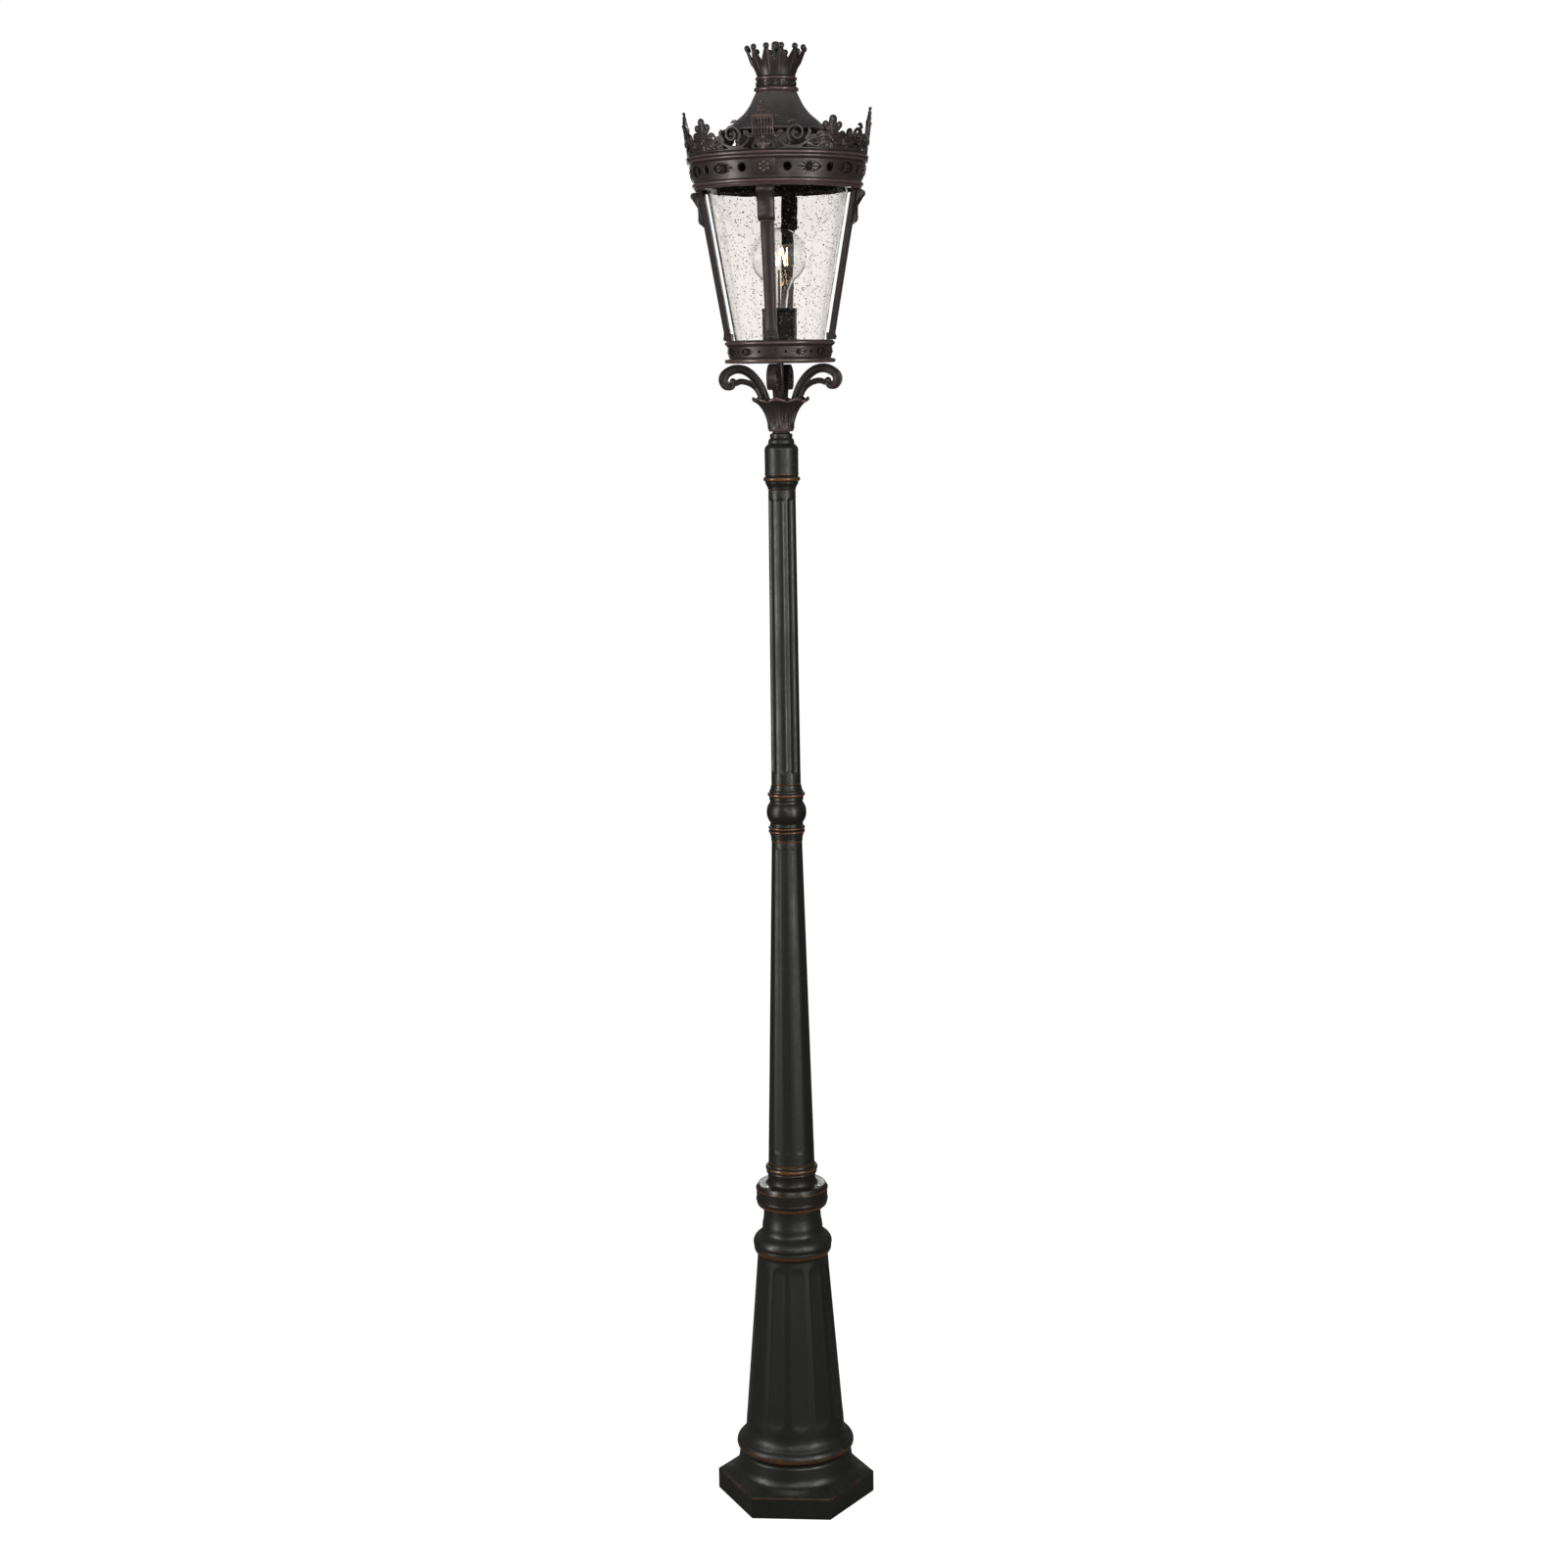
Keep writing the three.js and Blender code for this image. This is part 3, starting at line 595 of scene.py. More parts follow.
def turned(profile, angles=None, push=None):
    # a turned solid; push may change each point's radius and height by its angle
    profile = np.asarray([(*p, 0.0)[:3] for p in profile], float)
    angles = evenAngles(128) if angles is None else angles
    onAxis = profile[0, 0] == 0 and profile[-1, 0] == 0
    body = profile[1:-1] if onAxis else profile
    radius, height, rub = (np.repeat(body[:, i:i + 1], len(angles), 1) for i in range(3))
    if push:
        radius, height = push(radius, height, angles[None, :])
    points = np.stack([radius * np.cos(angles), radius * np.sin(angles), height, rub], -1)
    if onAxis:
        return fromRings(points, ((0, 0, profile[0, 1]), (0, 0, profile[-1, 1])))
    return fromRings(points, wrapRows=True)


def resampled(path, count):
    path = np.asarray(path, float)
    reach = np.concatenate([[0], np.cumsum(np.linalg.norm(np.diff(path, axis=0), axis=1))])
    wanted = np.linspace(0, reach[-1], count)
    return np.stack([np.interp(wanted, reach, path[:, i]) for i in range(path.shape[1])], 1)


def stroke(path, widths, depths, lift=0.0, count=26, sides=12, groove=0.0, loop=False, square=1.0):
    # a rounded bar along a flat path; widths and depths are its half sizes, given at even places along it
    line = resampled([p[:2] for p in path], count)
    along = np.linspace(0, 1, count)
    width = np.interp(along, np.linspace(0, 1, len(np.atleast_1d(widths))), np.atleast_1d(widths))
    depth = np.interp(along, np.linspace(0, 1, len(np.atleast_1d(depths))), np.atleast_1d(depths))
    if loop:
        line, width, depth = line[:-1], width[:-1], depth[:-1]
        run = np.roll(line, -1, 0) - np.roll(line, 1, 0)
    else:
        run = np.gradient(line, axis=0)
    run /= np.linalg.norm(run, axis=1)[:, None] + 1e-9
    aside = np.stack([-run[:, 1], run[:, 0]], 1)
    around = np.linspace(0, 2 * np.pi, sides, endpoint=False)
    across = np.sign(np.cos(around)) * np.abs(np.cos(around)) ** square
    rise = np.sign(np.sin(around)) * np.abs(np.sin(around)) ** square
    hollow = 1 - groove * np.exp(-((across / 0.35) ** 2)) * (rise > 0)
    x = line[:, :1] + aside[:, :1] * width[:, None] * across
    y = line[:, 1:] + aside[:, 1:] * width[:, None] * across
    z = lift + depth[:, None] * (rise * hollow)[None, :]
    return fromRings(np.stack([x, y, z], -1), wrapRows=loop)


def lump(x, y, z, rx, ry, rz, rings=7, sides=12):
    rows = np.linspace(-np.pi / 2, np.pi / 2, rings + 2)[1:-1]
    around = np.linspace(0, 2 * np.pi, sides, endpoint=False)
    px = x + rx * np.cos(rows)[:, None] * np.cos(around)
    py = y + ry * np.cos(rows)[:, None] * np.sin(around)
    pz = z + rz * np.sin(rows)[:, None] * np.ones(sides)
    return fromRings(np.stack([px, py, pz], -1), ((x, y, z - rz), (x, y, z + rz)))


def slab(outline, low, high):
    # a flat convex outline made thick
    line = np.asarray(outline, float)
    rings = [np.hstack([line, np.full((len(line), 1), level)]) for level in (low, high)]
    return fromRings(np.stack(rings))


def bar(x0, x1, y0, y1, z0, z1):
    return slab([(x0, y0), (x1, y0), (x1, y1), (x0, y1)], z0, z1)


def spiral(x, y, startRadius, endRadius, startAngle, turns, steps=40):
    t = np.linspace(0, 1, steps)
    radius = startRadius + (endRadius - startRadius) * t ** 0.85
    angle = math.radians(startAngle) + turns * 2 * np.pi * t
    return np.stack([x + radius * np.cos(angle), y + radius * np.sin(angle)], 1)


def flipped(solid):
    return moved(solid, lambda p: p * np.array([-1, 1, 1]))


def bothSides(*solids):
    return [*solids, *(flipped(solid) for solid in solids)]


# Objects

def newObject(name, solid):
    points, quads, tris = solid
    mesh = bpy.data.meshes.new(name)
    mesh.from_pydata((points[:, :3] * mm).tolist(), [], quads.tolist() + tris.tolist())
    mesh.attributes.new("rub", "FLOAT", "POINT").data.foreach_set("value", points[:, 3].astype(np.float32))
    obj = bpy.data.objects.new(name, mesh)
    bpy.context.scene.collection.objects.link(obj)
    return obj


def bakeModifiers(obj):
    graph = bpy.context.evaluated_depsgraph_get()
    mesh = bpy.data.meshes.new_from_object(obj.evaluated_get(graph))
    obj.modifiers.clear()
    old = obj.data
    obj.data = mesh
    bpy.data.meshes.remove(old)
    mesh.name = obj.name


def remove(obj):
    mesh = obj.data
    bpy.data.objects.remove(obj)
    bpy.data.meshes.remove(mesh)


def carve(obj, cutters, operation="DIFFERENCE"):
    tool = newObject("cutter", cutters)
    modifier = obj.modifiers.new("carve", "BOOLEAN")
    modifier.object = tool
    modifier.operation = operation
    modifier.solver = "EXACT"
    modifier.use_self = False
    bakeModifiers(obj)
    remove(tool)


meltSizes = {"smooth": 0.5, "highFrom": 60, "highOver": 4.0}


def fuse(name, solids, voxel=1.0, smoothing=3, share=0.4):
    # melts overlapping solids into one casting, rubbed on its high parts by the share
    obj = newObject(name, together(*solids))
    modifier = obj.modifiers.new("melt", "REMESH")
    modifier.mode = "VOXEL"
    modifier.voxel_size = voxel * mm
    soft = obj.modifiers.new("soft", "SMOOTH")
    soft.factor = meltSizes["smooth"]
    soft.iterations = smoothing
    bakeModifiers(obj)
    mesh = obj.data
    points = np.zeros(len(mesh.vertices) * 3, np.float32)
    mesh.vertices.foreach_get("co", points)
    points = points.reshape(-1, 3).astype(float) / mm
    corners = np.zeros(len(mesh.loops), np.int32)
    mesh.loops.foreach_get("vertex_index", corners)
    remove(obj)
    high = np.percentile(points[:, 2], meltSizes["highFrom"])
    rub = np.clip((points[:, 2] - high) / meltSizes["highOver"], 0, 1) * share
    return asSolid(np.column_stack([points, rub]), corners.reshape(-1, 4))


def finishPiece(obj, body, finish, replaced=(), crease=38, keepMaterial=False):
    mesh = obj.data
    if not keepMaterial:
        mesh.materials.clear()
        mesh.materials.append(finishes[finish])
    mesh.polygons.foreach_set("use_smooth", np.ones(len(mesh.polygons), bool))
    mesh.set_sharp_from_angle(angle=math.radians(crease))
    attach(obj, body)
    if replaced:
        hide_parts(*replaced)
    return obj


def makePiece(name, solid, body, finish, replaced=(), crease=38):
    return finishPiece(newObject(name, solid), body, finish, replaced, crease)


# Geometry Nodes trees

def newTree(name, inputs):
    tree = bpy.data.node_groups.new(name, "GeometryNodeTree")
    tree.interface.new_socket("Geometry", in_out="INPUT", socket_type="NodeSocketGeometry")
    for label, kind in inputs:
        tree.interface.new_socket(label, in_out="INPUT", socket_type=kind)
    tree.interface.new_socket("Geometry", in_out="OUTPUT", socket_type="NodeSocketGeometry")
    return tree, addNode(tree, "NodeGroupInput").outputs, addNode(tree, "NodeGroupOutput").inputs


def endTree(tree, geometry, material, out):
    realize = addNode(tree, "GeometryNodeRealizeInstances")
    paint = addNode(tree, "GeometryNodeSetMaterial")
    tree.links.new(geometry, realize.inputs[0])
    tree.links.new(realize.outputs[0], paint.inputs["Geometry"])
    tree.links.new(material, paint.inputs["Material"])
    tree.links.new(paint.outputs[0], out["Geometry"])


def makeRingTree():
    # copies of the piece, evenly turned round the axis
    tree, given, out = newTree("ringOfCopies", [
        ("Count", "NodeSocketInt"), ("First Angle", "NodeSocketFloat"), ("Material", "NodeSocketMaterial")])
    spots = addNode(tree, "GeometryNodePoints")
    tree.links.new(given["Count"], spots.inputs["Count"])
    index = addNode(tree, "GeometryNodeInputIndex").outputs[0]
    step = maths(tree, "DIVIDE", 2 * math.pi, given["Count"])
    angle = maths(tree, "MULTIPLY_ADD", index, step, given["First Angle"])
    turn = addNode(tree, "ShaderNodeCombineXYZ")
    tree.links.new(angle, turn.inputs["Z"])
    copies = addNode(tree, "GeometryNodeInstanceOnPoints")
    tree.links.new(spots.outputs[0], copies.inputs["Points"])
    tree.links.new(given["Geometry"], copies.inputs["Instance"])
    tree.links.new(turn.outputs[0], copies.inputs["Rotation"])
    endTree(tree, copies.outputs[0], given["Material"], out)
    return tree


def makeFluteTree():
    # round-ended flutes pressed into a tapered round piece
    tree, given, out = newTree("flutedTaper", [
        ("Flutes", "NodeSocketInt"), ("First Angle", "NodeSocketFloat"), ("Share", "NodeSocketFloat"),
        ("Depth", "NodeSocketFloat"), ("Low", "NodeSocketFloat"), ("High", "NodeSocketFloat"),
        ("Low Radius", "NodeSocketFloat"), ("High Radius", "NodeSocketFloat"),
        ("Material", "NodeSocketMaterial")])
    place = addNode(tree, "GeometryNodeInputPosition").outputs[0]
    split = addNode(tree, "ShaderNodeSeparateXYZ")
    tree.links.new(place, split.inputs[0])
    x, y, z = split.outputs
    radius = maths(tree, "SQRT",
                   maths(tree, "ADD", maths(tree, "MULTIPLY", x, x), maths(tree, "MULTIPLY", y, y)))
    pitch = maths(tree, "DIVIDE", 2 * math.pi, given["Flutes"])
    turns = maths(tree, "DIVIDE",
                  maths(tree, "SUBTRACT", maths(tree, "ARCTAN2", y, x), given["First Angle"]), pitch)
    off = maths(tree, "SUBTRACT", turns, maths(tree, "ROUND", turns))
    arc = maths(tree, "MULTIPLY", maths(tree, "MULTIPLY", off, pitch), radius)
    half = maths(tree, "MULTIPLY", maths(tree, "MULTIPLY", pitch, radius),
                 maths(tree, "MULTIPLY", given["Share"], 0.5))
    above = maths(tree, "SUBTRACT", z, maths(tree, "SUBTRACT", given["High"], half))
    below = maths(tree, "SUBTRACT", maths(tree, "ADD", given["Low"], half), z)
    past = maths(tree, "MAXIMUM", maths(tree, "MAXIMUM", above, below), 0.0)
    reach = maths(tree, "SQRT",
                  maths(tree, "ADD", maths(tree, "MULTIPLY", arc, arc), maths(tree, "MULTIPLY", past, past)))
    share = maths(tree, "MINIMUM", maths(tree, "DIVIDE", reach, half), 1.0)
    bowl = maths(tree, "POWER", maths(tree, "SUBTRACT", 1.0, maths(tree, "MULTIPLY", share, share)), 0.7)
    rise = maths(tree, "DIVIDE", maths(tree, "SUBTRACT", z, given["Low"]),
                 maths(tree, "SUBTRACT", given["High"], given["Low"]))
    skin = maths(tree, "MULTIPLY_ADD", maths(tree, "SUBTRACT", given["High Radius"], given["Low Radius"]),
                 rise, given["Low Radius"])
    outside = maths(tree, "GREATER_THAN", radius, maths(tree, "SUBTRACT", skin, 0.002))
    dip = maths(tree, "MULTIPLY", maths(tree, "MULTIPLY", bowl, given["Depth"]), outside)
    inward = addNode(tree, "ShaderNodeCombineXYZ")
    tree.links.new(maths(tree, "DIVIDE", maths(tree, "MULTIPLY", x, dip),
                         maths(tree, "MULTIPLY", radius, -1.0)), inward.inputs["X"])
    tree.links.new(maths(tree, "DIVIDE", maths(tree, "MULTIPLY", y, dip),
                         maths(tree, "MULTIPLY", radius, -1.0)), inward.inputs["Y"])
    press = addNode(tree, "GeometryNodeSetPosition")
    tree.links.new(given["Geometry"], press.inputs["Geometry"])
    tree.links.new(inward.outputs[0], press.inputs["Offset"])
    endTree(tree, press.outputs[0], given["Material"], out)
    return tree


def makeSeedTree():
    # bubbles scattered through a wall
    tree, given, out = newTree("scatteredSeeds", [
        ("Density", "NodeSocketFloat"), ("Seed", "NodeSocketInt"), ("Small", "NodeSocketVector"),
        ("Large", "NodeSocketVector"), ("Material", "NodeSocketMaterial")])
    spread = addNode(tree, "GeometryNodeDistributePointsOnFaces")
    tree.links.new(given["Geometry"], spread.inputs["Mesh"])
    tree.links.new(given["Density"], spread.inputs["Density"])
    tree.links.new(given["Seed"], spread.inputs["Seed"])
    size = addNode(tree, "FunctionNodeRandomValue", data_type="FLOAT_VECTOR")
    tree.links.new(given["Small"], size.inputs[0])
    tree.links.new(given["Large"], size.inputs[1])
    tree.links.new(given["Seed"], size.inputs["Seed"])
    ball = addNode(tree, "GeometryNodeMeshUVSphere")
    ball.inputs["Segments"].default_value = 6
    ball.inputs["Rings"].default_value = 4
    ball.inputs["Radius"].default_value = 1.0
    copies = addNode(tree, "GeometryNodeInstanceOnPoints")
    tree.links.new(spread.outputs["Points"], copies.inputs["Points"])
    tree.links.new(spread.outputs["Rotation"], copies.inputs["Rotation"])
    tree.links.new(ball.outputs["Mesh"], copies.inputs["Instance"])
    tree.links.new(size.outputs[0], copies.inputs["Scale"])
    endTree(tree, copies.outputs[0], given["Material"], out)
    return tree


ringTree = makeRingTree()
fluteTree = makeFluteTree()
seedTree = makeSeedTree()


def runTree(obj, tree, values):
    modifier = obj.modifiers.new("nodes", "NODES")
    modifier.node_group = tree
    for item in tree.interface.items_tree:
        if item.item_type == "SOCKET" and item.in_out == "INPUT" and item.name in values:
            modifier[item.identifier] = values[item.name]
    bakeModifiers(obj)
    return obj


def ringOf(name, solid, count, firstAngle, body, finish, replaced=(), crease=38):
    obj = newObject(name, solid)
    runTree(obj, ringTree,
            {"Count": count, "First Angle": math.radians(firstAngle), "Material": finishes[finish]})
    return finishPiece(obj, body, finish, replaced, crease, keepMaterial=True)


print("helpers ready")


# Post, from the ground up

pedestalSizes = {
    "footRadius": 188.6, "footTurn": 4.0, "footEdge": 54.0, "bellRadius": 149.0, "dish": 2.4,
    "dishAbove": 30.0,
    "flutes": 12, "fluteShare": 0.72, "fluteDepth": 2.2, "fluteLow": 200.0, "fluteHigh": 590.0,
    "coneLow": (108.4, 300.0), "coneHigh": (95.5, 460.0), "doorHalf": 24.0, "doorLow": 300.0,
    "doorHigh": 460.0, "doorGap": 1.0, "doorWall": 5.0, "doorEdge": 0.8, "coneFoot": 188.0, "coneTop": 604.0,
    "rub": [(616.0, 10.0, 0.85), (0.0, 14.0, 0.0)],
}

anchorSizes = {"circle": 102.0, "bore": 9.5, "rod": 8.0, "pitch": 2.0, "washer": 17.0, "nut": 15.0,
               "nutLow": 16.3, "nutHigh": 28.5}


def coneRadius(z):
    (lowRadius, low), (highRadius, high) = pedestalSizes["coneLow"], pedestalSizes["coneHigh"]
    return lowRadius + (highRadius - lowRadius) * (z - low) / (high - low)


def fluteAngles(count, first, share, across=10, between=4):
    pitch = 360 / count
    dip = np.linspace(-share / 2, share / 2, across, endpoint=False)
    ridge = np.linspace(share / 2, 1 - share / 2, between, endpoint=False)
    return np.radians(np.concatenate([first + pitch * (i + np.concatenate([dip, ridge]))
                                      for i in range(count)]))


def pressFlutes(obj, count, first, share, depth, low, high, lowRadius, highRadius, finish):
    runTree(obj, fluteTree, {
        "Flutes": count, "First Angle": math.radians(first), "Share": share, "Depth": depth * mm,
        "Low": low * mm, "High": high * mm, "Low Radius": lowRadius * mm, "High Radius": highRadius * mm,
        "Material": finishes[finish]})


def pedestalFlutes(obj):
    s = pedestalSizes
    pressFlutes(obj, s["flutes"], 15, s["fluteShare"], s["fluteDepth"], s["fluteLow"], s["fluteHigh"],
                coneRadius(s["fluteLow"]), coneRadius(s["fluteHigh"]), "postGreen")


def hexPush(radius, height, angle):
    # outside the bell the round profile opens into the six-sided foot
    s = pedestalSizes
    corner = np.radians(s["footTurn"])
    side = (angle - corner) % (np.pi / 3) - np.pi / 6
    hexagon = math.cos(np.pi / 6) / np.cos(side)
    weight = np.clip((radius - s["bellRadius"]) / (s["footRadius"] - 6 - s["bellRadius"]), 0, 1)
    dish = s["dish"] * np.cos(3 * side) ** 2 * np.clip(np.sin(np.pi * weight), 0,
                                                       1) * (height > s["dishAbove"])
    return radius * (1 - weight + weight * hexagon), height - dish


def doorSector(half, low, high, inner, outer):
    # a piece of the cone's wall; inner and outer are how far it reaches in and out of the cone's face
    turns = np.radians(90 + np.linspace(-half, half, 49))
    rings = []
    for z in np.linspace(low, high, 41):
        radii = [coneRadius(z) + outer] * len(turns) + [coneRadius(z) - inner] * len(turns)
        angles = np.concatenate([turns, turns[::-1]])
        rings.append(np.stack([radii * np.cos(angles), radii * np.sin(angles), np.full(len(angles), z)], 1))
    points = np.stack(rings)
    rows, columns = points.shape[:2]
    index = np.arange(rows * columns).reshape(rows, columns)
    low, high = index[:-1], index[1:]
    quads = np.stack([low, np.roll(low, -1, 1), np.roll(high, -1, 1), high], -1).reshape(-1, 4)
    count = len(turns)
    lids = []
    for row, order in ((index[0], 1), (index[-1], -1)):
        for k in range(count - 1):
            lids.append([row[k], row[columns - 1 - k], row[columns - 2 - k], row[k + 1]][::order])
    return asSolid(points.reshape(-1, 3), np.vstack([quads, lids]))


def makePedestal():
    s = pedestalSizes
    foot, top, doorLow, doorHigh = s["coneFoot"], s["coneTop"], s["doorLow"], s["doorHigh"]
    cone = spaced([(coneRadius(foot), foot), (coneRadius(top), top)], 4.5)
    outside = [
        (s["footRadius"] - 3, 0), (s["footRadius"], 3), (s["footRadius"], s["footEdge"] - 1.5),
        (s["footRadius"] - 2.5, s["footEdge"]),
        *zip(np.linspace(180, 153, 6), np.linspace(56, 65.5, 6)),
        *flowing([(149, 67), (143.5, 71.5), (138.6, 81), (136.4, 95), (134.6, 110)], 4),
        (132.8, 114), *bead(125, 133, 16, -58, 60, 14), (131.2, 148), (131.4, 149.6),
        *flowing([(129.5, 151.6), (124.2, 157.5), (120.4, 164), (118.4, 174), (117.6, 184)], 4), *cone,
        *flowing([(84.0, 606.5), (86.6, 609), (90.0, 613.6), (92.0, 619), (92.6, 625)], 3), (91.2, 626.2),
        (91.2, 627.4), *flowing([(93.0, 629), (93.9, 634), (93.2, 639.5), (90.6, 645.5), (86, 651),
                                 (80.4, 655.5)], 4),
        *flowing([(78.4, 657), (74.6, 661), (72.4, 667), (71.6, 679), (69.5, 690), (68, 702)], 3),
        (68, 724.5),
    ]
    inside = [(60, 724.5), (60, 668), (75, 642), (75.7, top), (coneRadius(doorHigh) - 8, doorHigh),
              (coneRadius(doorLow) - 8, doorLow), (108, foot), (126, 135), (126, 0)]
    angles = fluteAngles(s["flutes"], 15, s["fluteShare"])
    corners = np.radians(s["footTurn"] + np.arange(6) * 60)
    angles = np.unique(np.round(np.concatenate([angles % (2 * np.pi), corners, corners - 0.01,
                                                corners + 0.01]), 5))
    obj = newObject("pedestalCasting",
                    turned(softened([*outside, *inside], 1.5, bands=s["rub"]), angles, hexPush))
    pedestalFlutes(obj)
    carve(obj, doorSector(s["doorHalf"], doorLow, doorHigh, 24, 24))
    lugs = together(*(rotated(anchorLug(), 90 + 120 * k) for k in range(3)))
    carve(obj, lugs, "UNION")
    radius = anchorSizes["bore"]
    bore = turned([(0, -1), (radius, -1), (radius, 14), (0, 14)], evenAngles(32))
    bore = shifted(bore, x=anchorSizes["circle"])
    carve(obj, together(*(rotated(bore, 90 + 120 * k) for k in range(3))))
    finishPiece(obj, "post", "postGreen", ["pedestal"])


def anchorLug():
    # a lug inside the foot, for one anchor bolt
    around = np.radians(np.linspace(-90, 90, 9))
    tip = [(96 - 14 * math.cos(a), 20 * math.sin(a)) for a in around]
    outline = [(132, -20), *tip, (132, 20)]
    return slab(outline, 0.4, 12)


def makeDoor():
    s = pedestalSizes
    half = s["doorHalf"] - s["doorGap"]
    door = newObject("serviceDoorPanel",
                     doorSector(half, s["doorLow"] + 2, s["doorHigh"] - 2, s["doorWall"], 0))
    edge = door.modifiers.new("edge", "BEVEL")
    edge.width = s["doorEdge"] * mm
    edge.segments = 2
    edge.angle_limit = math.radians(50)
    bakeModifiers(door)
    pedestalFlutes(door)
    hole = lockSizes["hole"]
    carve(door, lockPlace(turned([(0, -12), (hole, -12), (hole, 9), (0, 9)], evenAngles(32))))
    finishPiece(door, "door", "postGreen", ["service_door"])


lockSizes = {"hole": 8.6, "barrel": 8.0, "rim": 11.0, "proud": 5.0, "keyFlat": 3.4, "keyDeep": 3.0}


def lockPlace(solid):
    low, high = pedestalSizes["doorLow"], pedestalSizes["doorHigh"]
    middle = (low + high) / 2
    slope = math.atan2(coneRadius(low) - coneRadius(high), high - low)
    turn = np.array(Matrix.Rotation(-math.pi / 2 + slope, 3, "X"))
    return moved(solid, lambda p: p @ turn.T + np.array([0, coneRadius(middle), middle]))


def makeLock():
    s = lockSizes
    face = softened([(0, -8), (s["barrel"], -8), (s["barrel"], 1.5), (s["rim"], 1.5), (s["rim"], 3.6),
                     (s["rim"] - 2, s["proud"]), (6.5, s["proud"]), (6, 4.2), (0, 4.2)], 0.7)
    lock = newObject("doorLockBarrel", lockPlace(turned(face, evenAngles(48))))
    corners = [(s["keyFlat"] * 2 * math.cos(a) / 1.6, s["keyFlat"] * 2 * math.sin(a) / 1.6)
               for a in np.radians([90, 210, 330])]
    carve(lock, lockPlace(slab(corners, 4.2 - s["keyDeep"], 9)))
    carve(lock, lockPlace(bar(-7, 7, -7, 20, -11, -8)), "UNION")
    finishPiece(lock, "lock", "zincPlate", ["door_lock"])


makePedestal()
makeDoor()
makeLock()
print("pedestal and door made")


# Anchor bolts, collar, shafts, knop and fitter

def hexagon(radius, low, high, chamfer=1.2):
    rings = []
    for size, z in ((radius - chamfer, low), (radius, low + chamfer), (radius, high - chamfer),
                    (radius - chamfer, high)):
        rings.append([(size * math.cos(a), size * math.sin(a), z) for a in np.radians(np.arange(6) * 60)])
    return fromRings(np.array(rings, float))


def threadRod(radius, low, high, pitch):
    # rings of thread, close enough to read as one
    count = int((high - low) / pitch)
    line = [(0, low), (radius - 1, low)]
    for k in range(count):
        z = low + k * pitch
        line += [(radius - 0.9, z + pitch * 0.1), (radius, z + pitch * 0.5), (radius - 0.9, z + pitch * 0.9)]
    return turned([*line, (radius - 1, high), (0, high)], evenAngles(24))


def makeAnchors():
    s = anchorSizes
    washer = turned(softened([(8.6, 12.3), (s["washer"], 12.3), (s["washer"], 15.6), (8.6, 15.6)], 0.6),
                    evenAngles(40))
    bolt = together(threadRod(s["rod"], 0.3, 52, s["pitch"]), washer,
                    hexagon(s["nut"], s["nutLow"], s["nutHigh"]))
    ringOf("anchorBolts", shifted(bolt, x=s["circle"]), 3, 90, "post", "zincPlate",
           ["anchor_bolt_1", "anchor_bolt_2", "anchor_bolt_3"])


flangeSizes = {"screwCircle": 71.0, "screwFirst": 102.0, "screwHead": 5.5, "top": 780.0,
               "rub": [(730.0, 8.0, 0.7)]}


def makeFlange():
    outside = [
        (79, 724.8), (82.5, 728), (84, 733), *bead(83.6, 741, 2.4, -60, 60, 5), (84.6, 745), (84.6, 762),
        *bead(83.0, 768, 3.0, -60, 60, 6), (82.5, 774), (80.5, 778.6), (79, 780), (62, 780), (58, 784),
        (56.6, 790),
        (56.6, 800), (57.5, 804), *bead(55.6, 809, 4.6, -80, 70, 8), *bead(55.6, 818.5, 6.4, -70, 85, 9),
        (56, 826), (55.8, 829.5), (47.2, 829.5), (47.2, 872), (40, 872), (40, 704), (58.6, 704),
        (58.6, 724.8),
    ]
    makePiece("shaftFlange", turned(softened(outside, 1.2, bands=flangeSizes["rub"])), "post", "rubbedPost",
              ["shaft_flange"])
    s = flangeSizes
    head = [(0, s["top"] + 0.1), (s["screwHead"], s["top"] + 0.1), (s["screwHead"], 782), (4.4, 784.2),
            (2.6, 785), (2.2, 783), (0, 783)]
    screw = shifted(turned(softened(head, 0.5), evenAngles(24)), x=s["screwCircle"])
    ringOf("flangeScrews", screw, 3, s["screwFirst"], "post", "zincPlate",
           ["flange_screw_1", "flange_screw_2", "flange_screw_3"])


shaftSizes = {
    "lower": {"low": (54.9, 829.8), "high": (35.5, 1607.0), "flutes": 12, "share": 0.62, "depth": 1.1,
              "from": 862.0, "to": 1594.0, "wall": 6.0},
    "upper": {"low": (34.2, 1742.0), "high": (31.3, 2420.7), "flutes": 8, "share": 0.66, "depth": 3.0,
              "from": 1768.0, "to": 2402.0, "wall": 4.0},
}


def makeShaft(name, part, node):
    s = shaftSizes[part]
    (lowRadius, low), (highRadius, high) = s["low"], s["high"]
    radiusAt = lambda z: lowRadius + (highRadius - lowRadius) * (z - low) / (high - low)
    ends = [low + 12, s["from"], s["from"] + 40, s["to"] - 40, s["to"], high - 6]
    outside = [(lowRadius, low)]
    for start, stop, step in zip(ends, ends[1:], (10, 2.5, 24, 2.5, 8)):
        outside += spaced([(radiusAt(start), start), (radiusAt(stop), stop)], step)[:-1]
    outside += [(radiusAt(high - 6), high - 6), (highRadius, high)]
    inside = [(highRadius - s["wall"], high), (lowRadius - s["wall"], low)]
    angles = fluteAngles(s["flutes"], 0, s["share"], 10, 6)
    shaft = newObject(name, turned(softened([*outside, *inside], 0.8), angles))
    pressFlutes(shaft, s["flutes"], 0, s["share"], s["depth"], s["from"], s["to"], radiusAt(s["from"]),
                radiusAt(s["to"]), "postGreen")
    finishPiece(shaft, "post", "postGreen", [node])


